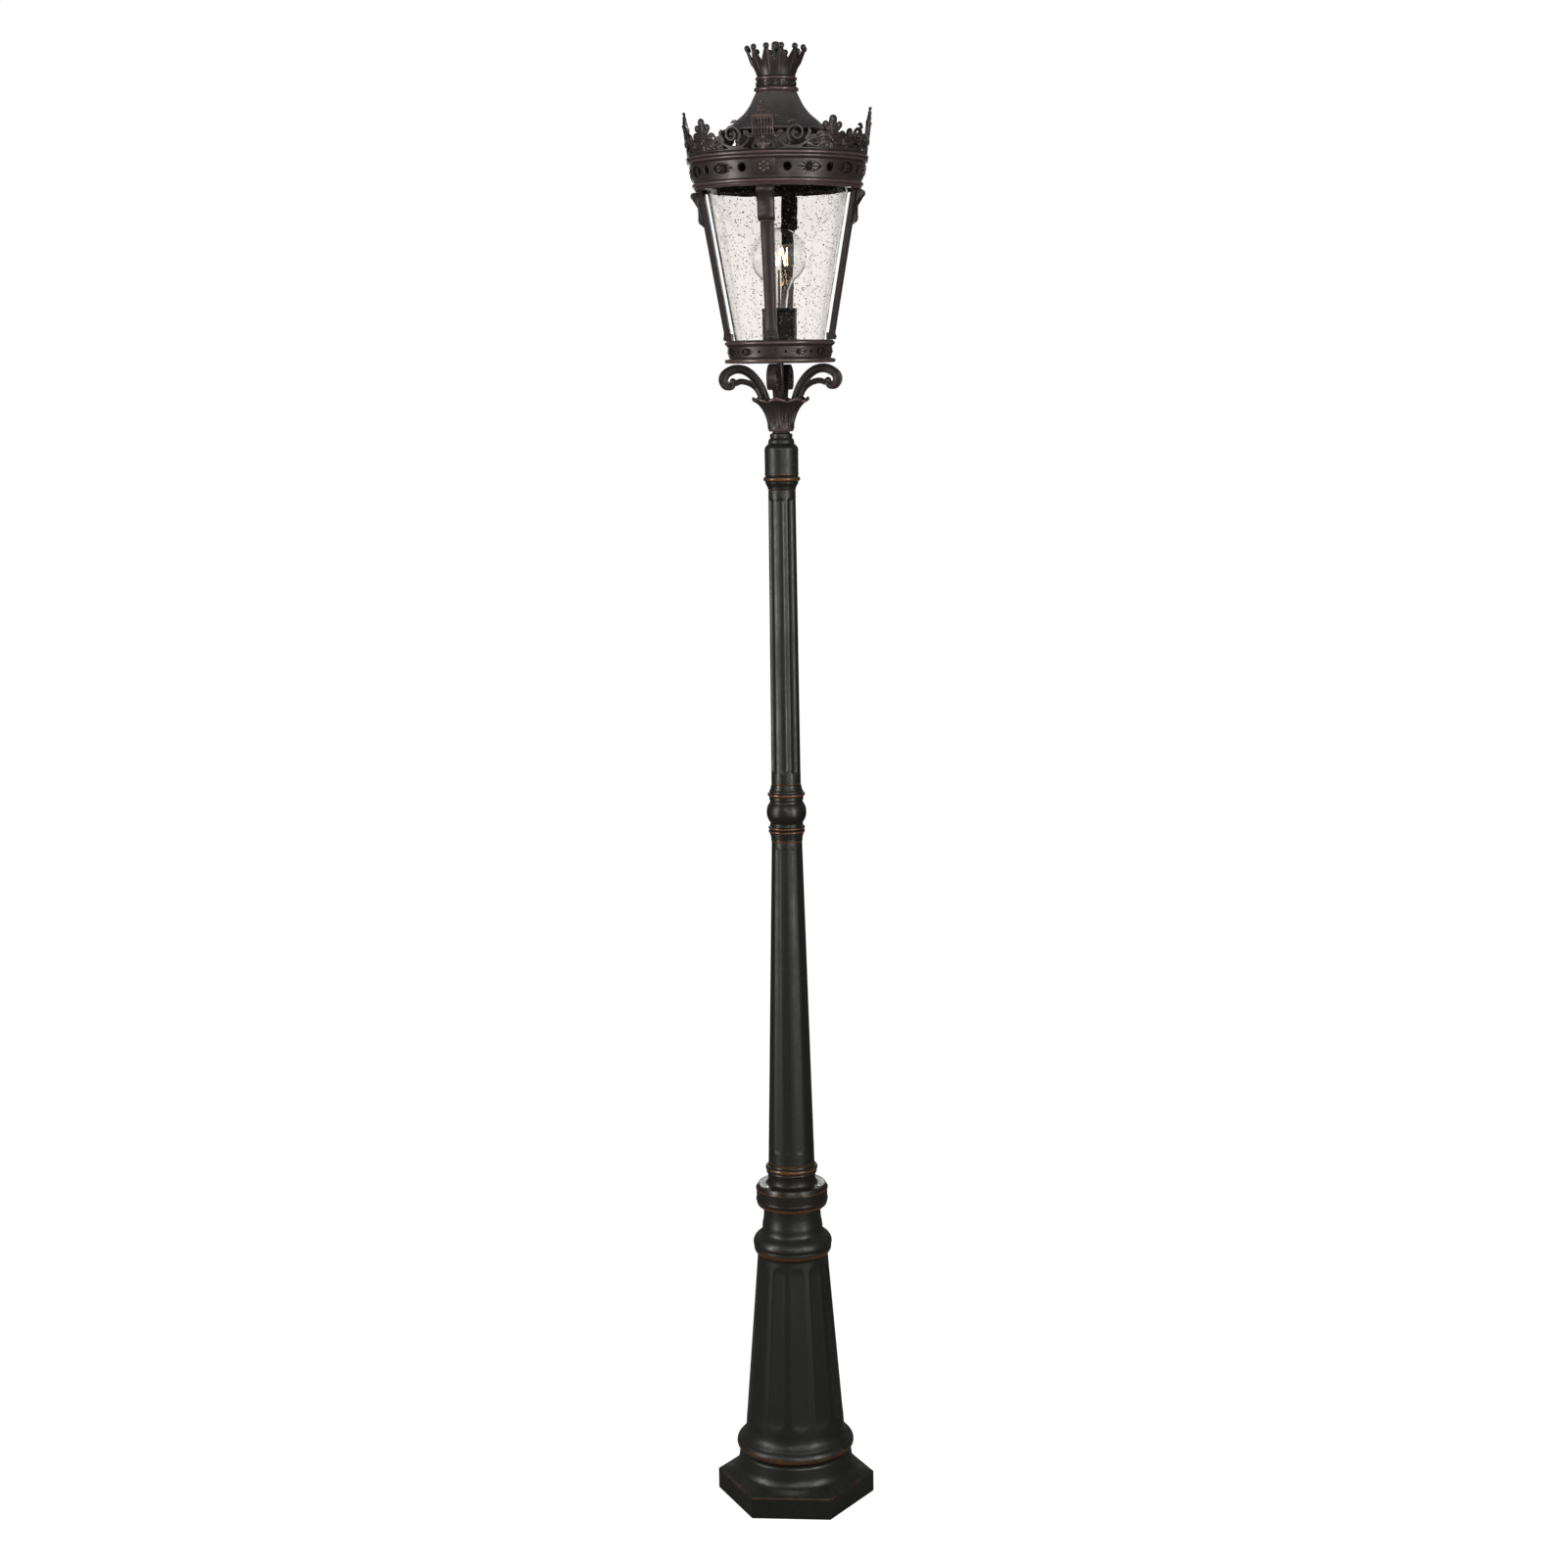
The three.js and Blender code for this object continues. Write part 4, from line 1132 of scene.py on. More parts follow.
def makeKnop():
    outside = [
        (36.6, 1607.4), (36.8, 1616), (37.6, 1618), (37.6, 1621), (39.4, 1623), (39.4, 1626),
        *bead(38.4, 1631, 4.2, -70, 80, 7),
        *bead(38.4, 1639.5, 4.4, -70, 80, 7), (39.2, 1645.5), (38.0, 1647), (38.0, 1651),
        *flowing([(38.6, 1652), (42.2, 1658), (45.4, 1667), (46.2, 1676), (45.4, 1685), (42.2, 1693.5),
                  (38.8, 1699)], 4),
        (38.2, 1701), (38.2, 1704), (39.8, 1706), (39.8, 1709), *bead(38.6, 1718, 5.0, -80, 80, 9),
        (39.4, 1725.5), (38, 1728), (36.6, 1730), (36.6, 1734), (35.4, 1736), (34.9, 1741.6),
        (29.6, 1741.6), (29.6, 1785), (24, 1785), (24, 1565), (28.9, 1565), (28.9, 1607.4),
    ]
    makePiece("shaftKnop", turned(softened(outside, 0.7)), "post", "rubbedPost", ["shaft_knop"])


def makePostTop():
    outside = [
        (31.5, 2421.3), (32.4, 2425), (33.6, 2429), (35.0, 2431), (36.4, 2434),
        *bead(36.0, 2437.5, 2.4, -60, 60, 5),
        (37.6, 2440), *bead(36.6, 2446, 5.9, -80, 80, 9), (38.6, 2453.8),
        (34, 2453.9), (34, 2512), (20, 2512), (20, 2385), (26.8, 2385), (26.8, 2421.3),
    ]
    makePiece("postTopRing", turned(softened(outside, 0.7)), "post", "rubbedPost", ["post_top"])


def makeFitter():
    outside = [
        (38.2, 2454.3), (38.8, 2456), (38.8, 2459), (38.3, 2460.5), (38.5, 2508), *flowing(
            [(38.7, 2510), (38.0, 2516), (34.5, 2521.5), (30.6, 2525)], 4),
        (29.6, 2527), *flowing([(29.8, 2528), (29.4, 2532), (27.2, 2536.5), (25.4, 2538)], 3),
        (25.2, 2540), (26.0, 2542), (25.6, 2546.5), (24, 2548), (20, 2549), (20, 2552), (9, 2552), (9, 2522),
        (35.2, 2516), (35.2, 2454.3),
    ]
    makePiece("postFitter", turned(softened(outside, 0.8)), "lantern", "postGreen", ["post_fitter"])
    grub = turned(softened([(0, 34.8), (3, 34.8), (3, 38.6), (2.6, 39.0), (1.7, 39.0), (1.6, 37.2),
                            (0, 37.2)], 0.3),
                  evenAngles(20))
    lying = moved(grub, lambda p: np.stack([p[:, 2], p[:, 1], 2478 - p[:, 0]], 1))
    ringOf("fitterGrubScrews", lying, 3, 90, "lantern", "blackEnamel",
           ["fitter_screw_1", "fitter_screw_2", "fitter_screw_3"])


makeAnchors()
makeFlange()
makeShaft("lowerShaft", "lower", "lower_shaft")
makeShaft("upperShaft", "upper", "upper_shaft")
makeKnop()
makePostTop()
makeFitter()
print("post made")


# Lantern: cup, stem, scrolls, base ring and floor

cupSizes = {"leaves": 8, "notch": 0.10, "drop": 9.0, "channels": 32, "channel": 1.9, "valley": 1.6,
            "foot": 2560.0, "tall": 68.0, "innerRadius": 20.0, "tip": 1.6}


def leafCupPush(radius, height, angle):
    s = cupSizes
    rise = np.clip((height - s["foot"]) / s["tall"], 0, 1)
    # the phase is 1 in the middle of a leaf and 0 between leaves
    phase = np.abs((angle * s["leaves"] / (2 * np.pi)) % 1 - 0.5) * 2
    valley = (1 - phase) ** 3
    channel = np.abs(np.cos(s["channels"] * angle / 2))
    outer = radius > s["innerRadius"]
    stretch = np.clip(rise * 3, 0, 1)
    fresh = radius * (1 - s["notch"] * valley * rise ** 4)
    fresh = fresh - outer * stretch * (s["channel"] * channel * (1 - rise ** 8) + s["valley"] * valley)
    tips = s["tip"] * np.cos(2 * s["leaves"] * angle) * rise ** 8
    return np.where(outer, fresh, radius), height + outer * (tips - s["drop"] * valley * rise ** 4)


def makeCup():
    outside = [
        (20, 2552.4), (26.5, 2552.6), (28.8, 2556), (30.4, 2561), (30.4, 2566), (30.8, 2571),
        *flowing([(31.2, 2573), (34.4, 2584), (39.4, 2596.5), (46.6, 2608), (54.6, 2616.6),
                  (60.5, 2620.6)], 4),
        *flowing([(61.5, 2620.4), (65.0, 2623.2), (65.2, 2627.2), (62.4, 2629.8), (59.4, 2627.6)], 4),
        *flowing([(57.0, 2625), (50, 2620), (41.8, 2609.5), (33.8, 2596.5), (29.4, 2584), (27.4, 2574)], 4),
        (9, 2574), (9, 2552.4),
    ]
    makePiece("leafCup", turned(softened(outside, 0.8), evenAngles(320), leafCupPush), "lantern",
              "lanternBronze", ["leaf_cup"], 50)
    stem = softened([(5.2, 2523), (8, 2523), (8, 2731), (5.2, 2731)], 0.4)
    makePiece("stemTube", turned(spaced(stem, 30), evenAngles(40)), "lantern", "lanternBronze", ["stem_tube"])


scrollSizes = {"halfWidth": 11.2, "rim": 3.0, "web": 6.4, "eyeBall": 7.6}


def scrollPath():
    # the middle line of the bracket, out from the cup, over the top and round the eye
    return flowing([(20, 2588), (28, 2608), (36, 2633), (47, 2657), (62, 2677), (82, 2691), (104, 2693.5),
                    (124, 2684), (131, 2670), (125, 2657), (113, 2655), (108, 2663)], 6)


def makeScrolls():
    s = scrollSizes
    turnUp = lambda solid: moved(solid, lambda p: np.stack([p[:, 0], -p[:, 2], p[:, 1]], 1))
    line = np.array(scrollPath())
    run = np.gradient(line, axis=0)
    aside = np.stack([-run[:, 1], run[:, 0]], 1) / np.linalg.norm(run, axis=1)[:, None]
    along = np.linspace(0, 1, len(line))
    half = np.interp(along, [0, 0.25, 0.5, 0.7, 0.85, 1], [5.5, 8.5, 9.5, 9.8, 8.6, 4.5])[:, None]
    pieces = [stroke(line, half[:, 0] - 1.0, s["web"], count=60, square=0.35, sides=16)]
    for sign in (1, -1):
        rim = line + sign * aside * (half - s["rim"] / 2)
        pieces.append(stroke(rim, s["rim"] * 0.72, s["halfWidth"], count=64, square=0.45, sides=16))
    lower = flowing([(44, 2628), (55, 2650), (72, 2662), (90, 2666), (103, 2662)], 5)
    pieces.append(stroke(lower, [6.0, 7.0, 6.4, 4.8], s["web"], count=40, square=0.5))
    for drop, width in ((-4.6, 2.2), (4.8, 2.0)):
        rim = [(x, z + drop) for x, z in lower]
        pieces.append(stroke(rim, width, s["halfWidth"] - 0.7, count=40, square=0.45, sides=16))
    pieces.append(lump(109, 2666.5, 0, s["eyeBall"], s["eyeBall"], s["halfWidth"] + 0.8, 9, 20))
    bracket = fuse("scrollBracket", [shifted(piece, y=-2600) for piece in pieces], 1.15, 3)
    bracket = turnUp(shifted(bracket, y=2600))
    for side, angle in armAngles.items():
        makePiece("scrollBracket_" + side, rotated(bracket, angle), "lantern", "lanternBronze",
                  ["scroll_" + side], 60)


def friezeWrap(lowRadius, low, slope):
    # lays a flat ornament (across, up, out) on the frieze's face
    def wrap(points):
        radius = lowRadius + slope * (points[:, 1] - low) + points[:, 2]
        angle = points[:, 0] / lowRadius
        return np.stack([radius * np.cos(angle), radius * np.sin(angle), points[:, 1]], 1)
    return wrap


def almondOutline(half, rise, middle, steps=14):
    t = np.linspace(-1, 1, steps)
    top = [(half * x, middle + rise * (1 - x * x) ** 0.8) for x in t]
    return top + [(x, 2 * middle - z) for x, z in top[-2:0:-1]]


def discOutline(radius, middle, steps=20):
    return [(radius * math.cos(a), middle + radius * math.sin(a))
            for a in np.linspace(0, 2 * np.pi, steps, endpoint=False)]


def petals(half, rise, middle, count, proud):
    # a boss with petals that reach to the edge of an almond
    parts = [lump(0, middle, proud * 0.4, rise * 0.24, rise * 0.24, proud)]
    for angle in np.arange(count) * 2 * np.pi / count:
        reach = 1 / math.hypot(math.cos(angle) / half, math.sin(angle) / rise)
        end = (reach * math.cos(angle), middle + reach * math.sin(angle))
        parts.append(stroke([(0, middle), end], [0.8, rise * 0.11, rise * 0.10, 0.3],
                            [proud * 0.8, proud, proud, 0.5],
                            count=9, sides=8))
    return together(*parts)


baseRingSizes = {"low": 2719.0, "high": 2742.0, "lowRadius": 115.8, "slope": 0.1, "almond": (18.0, 8.6),
                 "hole": 3.0, "strap": 9.0}


def makeBaseRing():
    s = baseRingSizes
    outside = [
        (100, 2706.4), (122.8, 2706.4), (125.0, 2707.6), (125.8, 2710), (125.8, 2712.6), (124.6, 2715),
        (121, 2716.2),
        (116.4, 2716.8), (115.2, 2718), *spaced([(115.8, 2719), (118.1, 2742)], 6), (119.6, 2743),
        (120.6, 2745),
        *bead(120.6, 2750.2, 4.4, -75, 85, 8), (120, 2756), (104, 2756.3), (104, 2710.7), (100, 2710.7),
    ]
    ring = newObject("baseRing", turned(softened(outside, 0.7), evenAngles(288)))
    wrap = friezeWrap(s["lowRadius"], s["low"], s["slope"])
    middle = (s["low"] + s["high"]) / 2
    almond = moved(slab(almondOutline(*s["almond"], middle), -4.4, 4), wrap)
    hole = moved(slab(discOutline(s["hole"], middle, 14), -16, 4), wrap)
    cutters = [rotated(almond, side + turn) for side in armAngles.values() for turn in (30, 60)]
    cutters += [rotated(hole, side + turn) for side in armAngles.values() for turn in (15, 45, 75)]
    carve(ring, together(*cutters))
    finishPiece(ring, "lantern", "lanternBronze", ["base_ring"], 34)
    flower = moved(shifted(petals(s["almond"][0] - 1, s["almond"][1] - 1, middle, 10, 2.2), z=-3.2), wrap)
    ringOf("baseRingLeaves", together(rotated(flower, 30), rotated(flower, 60)), 4, 0, "lantern",
           "lanternBronze")
    strap = [moved(bar(-s["strap"], s["strap"], s["low"] + 2, s["high"] - 2, -0.6, 1.1), wrap),
             moved(bar(-5, 5, middle - 5, middle + 5, 0.6, 2.2), wrap),
             moved(lump(0, middle, 2.2, 2.6, 2.6, 1.6), wrap)]
    ringOf("baseRingStraps", together(*strap), 4, 0, "lantern", "lanternBronze")
    floor = softened([(9, 2711.1), (103.3, 2711.1), (103.3, 2715), (60, 2715), (58, 2715.0), (9, 2715)], 0.6)
    makePiece("chamberFloor", turned(floor), "lantern", "lanternBronze", ["floor_plate"])
    nut = newObject("stemNutPlated", hexagon(14, 2715.5, 2723.5))
    carve(nut, turned([(0, 2710), (8.4, 2710), (8.4, 2730), (0, 2730)], evenAngles(32)))
    finishPiece(nut, "lantern", "lampMetal", ["stem_nut"])


makeCup()
makeScrolls()
makeBaseRing()
print("lantern's foot made")


# Lampholder and lamp

def makeLampholder():
    cover = [(40, 2715.4), (40, 2719), (38.6, 2720), (38.6, 2729), *bead(37.9, 2733, 1.6), (38.6, 2737),
             (39.2, 2820), (40, 2822), (40, 2826.6), (39, 2828), (36.5, 2828), (36.5, 2715.4)]
    makePiece("lampholderSkirt", turned(softened(cover, 0.6), evenAngles(96)), "lantern", "blackEnamel",
              ["lampholder_cover"])
    body = [(0, 2731.4), (18, 2731.4), (20, 2733), (20, 2739), (21, 2741), (21, 2787), (19.5, 2791),
            (17.5, 2792), (14.6, 2791), (14.2, 2788), (14.2, 2750), (0, 2750)]
    makePiece("lampholderBody", turned(softened(body, 0.8), evenAngles(64)), "lantern", "porcelain",
              ["lampholder"])


lampSizes = {"radius": 63.5, "middle": 2943.0, "wall": 1.2, "capRadius": 13.0, "threadLow": 2757.0,
             "threadTurns": 6, "threadPitch": 3.4}


def makeLamp():
    s = lampSizes

    def bulb(inset):
        radius = s["radius"] - inset
        globe = [(radius * math.cos(a), s["middle"] + radius * math.sin(a))
                 for a in np.radians(np.linspace(-58, 88, 40))]
        neck = flowing([(13.6 - inset, 2782.5), (16.5 - inset, 2800), (18.5 - inset, 2840),
                        (23 - inset, 2868), globe[0]], 8)
        return [*neck[:-1], *globe, (0, s["middle"] + radius)]

    outer, inner = bulb(0), bulb(s["wall"])
    glass = [(0, 2783.6), (11, 2783.6), *inner[1:]]
    solid = [*outer[::-1], (10.5, 2782.3), (0, 2782.3)]
    shell = together(turned(solid[::-1], evenAngles(96)), hollow(turned(glass, evenAngles(96))))
    makePiece("lampGlobe", shell, "lamp", "lampGlass", ["lamp_glass"], 60)
    cap = [(0, 2751), (3.6, 2751), (4.6, 2753), (8, 2754.5), (11, 2756)]
    for k in range(s["threadTurns"]):
        z = s["threadLow"] + k * s["threadPitch"]
        cap += [(s["capRadius"] - 1, z), (s["capRadius"], z + 1.2), (s["capRadius"], z + 1.9),
                (s["capRadius"] - 1, z + 3.1)]
    cap += [(s["capRadius"] - 0.6, 2779), (s["capRadius"], 2782), (0, 2782)]
    makePiece("lampCap", turned(cap, evenAngles(64)), "lamp", "lampMetal", ["lamp_cap"], 50)


def hollow(solid):
    # the inner face of a closed shell, which faces into the hollow
    points, quads, tris = solid
    return points, quads[:, ::-1], tris[:, ::-1]


filamentSizes = {"loops": 6, "radius": 20.0, "low": 2922.0, "high": 2962.0, "wire": 0.55}


def makeFilament():
    s = filamentSizes
    stemLine = softened([(0, 2784), (7, 2784), (4, 2806), (3, 2860), (2.4, 2905), (3.2, 2912), (0, 2913)], 1)
    parts = [wornAndSheen(turned(stemLine, evenAngles(20)), 0.0)]
    line = []
    for k in range(s["loops"] * 2 + 1):
        angle = math.pi * 2 * k / (s["loops"] * 2 + 1)
        line.append((s["radius"] * math.cos(angle), s["radius"] * math.sin(angle),
                     s["high"] if k % 2 else s["low"]))
    line = np.array(line)
    ring = np.linspace(0, 2 * np.pi, 6, endpoint=False)
    for a, b in zip(line[:-1], line[1:]):
        parts.append(wornAndSheen(wire(a, b, s["wire"], ring), 1.0))
    for k in (0, len(line) - 1):
        parts.append(wire(np.array([0, 0, 2908]), line[k], 0.4, ring))
    makePiece("lampFilamentWire", together(*parts), "lamp", "lampFilament", ["lamp_filament"])


def wire(start, end, radius, ring):
    run = (end - start) / np.linalg.norm(end - start)
    side = np.cross(run, [0.3, 0.5, 0.81])
    side /= np.linalg.norm(side)
    other = np.cross(run, side)
    circle = radius * (np.cos(ring)[:, None] * side + np.sin(ring)[:, None] * other)
    return fromRings(np.stack([start + circle, end + circle]))


makeLampholder()
makeLamp()
makeFilament()
print("lamp made")


# Glass shade and the seeds in it

shadeSizes = {"footRadius": 101.0, "footHeight": 2756.5, "lean": 0.1723, "low": 2715.4, "high": 3092.0,
              "wall": 3.0, "seedDensity": 7000.0, "seed": 11, "seedSmall": (0.0008, 0.0008, 0.0006),
              "seedLarge": (0.0021, 0.0018, 0.0012)}


def shadeRadius(z, inset=0.0):
    return shadeSizes["footRadius"] + shadeSizes["lean"] * (z - shadeSizes["footHeight"]) - inset


def makeShade():
    s = shadeSizes
    rise = np.linspace(s["low"], s["high"], 40)
    outer = [(shadeRadius(z), z) for z in rise]
    inner = [(shadeRadius(z, s["wall"]), z) for z in rise[::-1]]
    shade = turned(softened([*outer, *inner], 0.6), evenAngles(160))
    shade = makePiece("glassShadeSeeded", shade, "lantern", "seededGlass", ["glass_shade"], 50)
    unlitGlass.objects.link(shade)
    unlitGlass.collection_objects[0].light_linking.link_state = "EXCLUDE"
    band = turned([(shadeRadius(z, 1.5), z) for z in (s["low"] + 8, s["high"] - 5)] +
                  [(shadeRadius(z, 1.52), z) for z in (s["high"] - 5, s["low"] + 8)], evenAngles(96))
    seeds = newObject("glassSeeds", band)
    runTree(seeds, seedTree, {"Density": s["seedDensity"] / 2, "Seed": s["seed"], "Small": s["seedSmall"],
                              "Large": s["seedLarge"], "Material": finishes["glassSeed"]})
    finishPiece(seeds, "lantern", "glassSeed", keepMaterial=True)


makeShade()


# Arms with their consoles

armSizes = {"footRadius": 123.2, "footHeight": 2756.5, "lean": 0.1723, "low": 2756.8, "high": 3085.7,
            "depth": 13.0, "footWidth": 24.0, "topWidth": 32.0, "lip": 4.0,
            "channel": 2.2, "channelLow": 2778.0, "channelHigh": 3010.0, "ramp": 6.0}


def armFace(z):
    return armSizes["footRadius"] + armSizes["lean"] * (z - armSizes["footHeight"])


def makeArms():
    s = armSizes
    low, high, ramp = s["channelLow"], s["channelHigh"], s["ramp"]
    heights = [np.linspace(s["low"], low, 6), np.linspace(low + ramp, high - ramp, 12),
               np.linspace(high - 2, s["high"], 5)]
    rings = []
    for z in np.concatenate(heights):
        share = (z - s["low"]) / (s["high"] - s["low"])
        half = (s["footWidth"] + (s["topWidth"] - s["footWidth"]) * share) / 2
        dip = s["channel"] * min(1, max(0, (z - low) / ramp)) * min(1, max(0, (high - z) / ramp))
        lip = half - s["lip"]
        section = [(-0.9, half), (-0.2, half - 0.9), (0, half - 2), (0, lip + 0.8), (-dip * 0.6, lip),
                   (-dip, lip - 1.2)]
        back = [(-s["depth"] + 0.9, half), (-s["depth"] + 0.2, half - 0.9), (-s["depth"], half - 2.5)]
        loop = [*back[::-1], *section]
        loop = loop + [(x, -y) for x, y in loop[::-1]]
        rings.append([(armFace(z) + x, y, z) for x, y in loop])
    arm = fromRings(np.array(rings))
    knob = lump(armFace(2762) - 1, 0, 2763, 6.4, 11.5, 6.0, 9, 20)
    boss = moved(slab([(-14, 0), (-14, 13), (-11, 15.3), (11, 15.3), (14, 13), (14, 0)], 108, 126),
                 lambda p: np.stack([p[:, 2], p[:, 0], p[:, 1] + s["low"] + 0.05], 1))
    ringOf("lanternArms", together(arm, knob, boss), 4, 0, "lantern", "lanternBronze",
           ["arm_" + side for side in armAngles], 42)


consoleSizes = {"half": 19.0}


def consoleRing(y, line, inset):
    run = np.roll(line, -1, 0) - np.roll(line, 1, 0)
    normal = np.stack([run[:, 1], -run[:, 0]], 1) / np.linalg.norm(run, axis=1)[:, None]
    points = line - normal * inset
    return np.stack([points[:, 0], np.full(len(points), y), points[:, 1]], 1)


def makeConsoles():
    proud = flowing([(2.0, 3012), (8.0, 3016), (9.6, 3025), (6.4, 3036), (5.0, 3047), (6.8, 3058),
                     (11.6, 3067), (16.4, 3072.5), (17.2, 3078), (14.2, 3083.5)], 5)
    line = [(armFace(z) + out, z) for out, z in proud]
    line += [(armFace(3085) + 8, 3085.6), (armFace(3085) + 0.4, 3085.6), (armFace(3048) + 0.4, 3048),
             (armFace(3011) + 0.4, 3011)]
    line = np.array(resampled([*line, line[0]], 90)[:-1])
    half = consoleSizes["half"]
    rings = [consoleRing(y, line, inset) for y, inset in (
        (-half, 1.0), (-half + 0.4, 0.3), (-half + 1.2, 0), (-half + 3.6, 0), (-half + 4.6, 0.8),
        (half - 4.6, 0.8), (half - 3.6, 0), (half - 1.2, 0), (half - 0.4, 0.3), (half, 1.0))]
    console = fromRings(np.array(rings))
    # the leaf band takes a 0.7 share of the worn colour: rub-through, and also a painted reddish highlight
    # along the band
    leafBand = moved(bar(-half + 0.6, half - 0.6, 3009.8, 3012.6, 0.4, 2.6),
                     lambda p: np.stack([armFace(p[:, 1]) + p[:, 2], p[:, 0], p[:, 1]], 1))
    ringOf("armConsoles", together(console, wornAndSheen(leafBand, 0.7)), 4, 0, "lantern", "lanternBronze",
           ["arm_console_" + side for side in armAngles], 42)


makeArms()
makeConsoles()
print("glass and arms made")


# Cornice ring and its frieze

corniceSizes = {"low": 3108.0, "high": 3141.0, "lowRadius": 189.6, "slope": 0.182, "almond": (27.5, 12.6),
                "hole": 9.0, "strapHalf": 24.5, "petals": 6, "petalCircle": 8.6, "petal": 4.2}


def makeCornice():
    s = corniceSizes
    outside = [
        (172, 3086.2), (184, 3086.2), (185.5, 3087.4), (187.6, 3089.6), *bead(187.6, 3097, 4.8, -80, 80, 9),
        (188.6, 3103.4),
        (188.8, 3105.6), *spaced([(189.6, 3108), (195.6, 3141)], 8), (197.2, 3142), (198.2, 3143.4),
        *bead(199.4, 3147.6, 3.9, -75, 70, 7), *bead(199.8, 3155.2, 4.7, -65, 88, 8), (198.6, 3160),
        (84, 3160), (84, 3155), (188, 3155), (184, 3108), (172, 3100),
    ]
    ring = newObject("corniceRing", turned(softened(outside, 0.7), evenAngles(360)))
    wrap = friezeWrap(s["lowRadius"], s["low"], s["slope"])
    middle = (s["low"] + s["high"]) / 2
    almond = moved(slab(almondOutline(*s["almond"], middle, 18), -6.0, 5), wrap)
    hole = moved(slab(discOutline(s["hole"], middle), -22, 5), wrap)
    cutters = [rotated(almond, side + turn) for side in armAngles.values() for turn in (30, 60)]
    cutters += [rotated(hole, side + turn) for side in armAngles.values() for turn in (15, 45, 75)]
    carve(ring, together(*cutters))
    finishPiece(ring, "lantern", "lanternBronze", ["cornice_ring"], 34)
    flower = moved(shifted(petals(s["almond"][0] - 1.5, s["almond"][1] - 1.2, middle, 12, 3.0), z=-4.4), wrap)
    ringOf("friezeAlmonds", together(rotated(flower, 30), rotated(flower, 60)), 4, 0, "lantern",
           "lanternBronze")
    rosette = [lump(0, middle, 2.6, 3.4, 3.4, 4.0)]
    out, petal = s["petalCircle"], s["petal"]
    for angle in np.radians((np.arange(s["petals"]) + 0.5) * 360 / s["petals"]):
        rosette.append(lump(out * math.cos(angle), middle + out * math.sin(angle), 2.0, petal, petal, 4.0))
    collar = [stroke([*discOutline(s["hole"] + 1.0, middle, 24), (s["hole"] + 1.0, middle)], 0.9, 1.0,
                     lift=0.1, count=33, sides=8, loop=True)]
    strap = bar(-s["strapHalf"], s["strapHalf"], s["low"] - 0.5, s["high"] + 0.5, -0.8, 2.0)
    boss = together(moved(strapRows(strap), wrap), *(wornAndSheen(moved(piece, wrap), 1.0) for piece in rosette))
    rims = [rotated(moved(collar[0], wrap), turn) for turn in (15, 45, 75)]
    ringOf("friezeStraps", together(boss, *rims), 4, 0, "lantern", "lanternBronze")


def strapRows(solid):
    # the strap again, in enough steps to bend round the frieze
    low, high = solid[0][:, :3].min(0), solid[0][:, :3].max(0)
    rings = []
    for x in np.linspace(low[0], high[0], 13):
        rings.append([(x, low[1], low[2]), (x, high[1], low[2]), (x, high[1], high[2] - 0.4),
                      (x, high[1] - 0.8, high[2]), (x, low[1] + 0.8, high[2]), (x, low[1], high[2] - 0.4)])
    return fromRings(np.array(rings))


makeCornice()
print("cornice made")


# Crest: a scrolled panel between each two badges

crestSizes = {"radius": 200.0, "lean": 0.13, "foot": 3160.3, "volute": (86.0, 33.0), "voluteRadius": 21.0,
              "band": 3.5, "thick": 4.6, "voxel": 1.1}


def crestWrap(points):
    s = crestSizes
    radius = s["radius"] + s["lean"] * points[:, 1] + points[:, 2] - 3
    angle = points[:, 0] / s["radius"]
    return np.stack([radius * np.cos(angle), radius * np.sin(angle), s["foot"] + points[:, 1]], 1)


def leafLobe(path, width, thick=4.0, groove=0.45, lift=0.0):
    return stroke(flowing(path, 6), [width * 0.45, width * 0.9, width, width * 0.72, 0.5],
                  [thick, thick, thick, thick * 0.8, 1.6],
                  lift=lift, count=24, groove=groove)


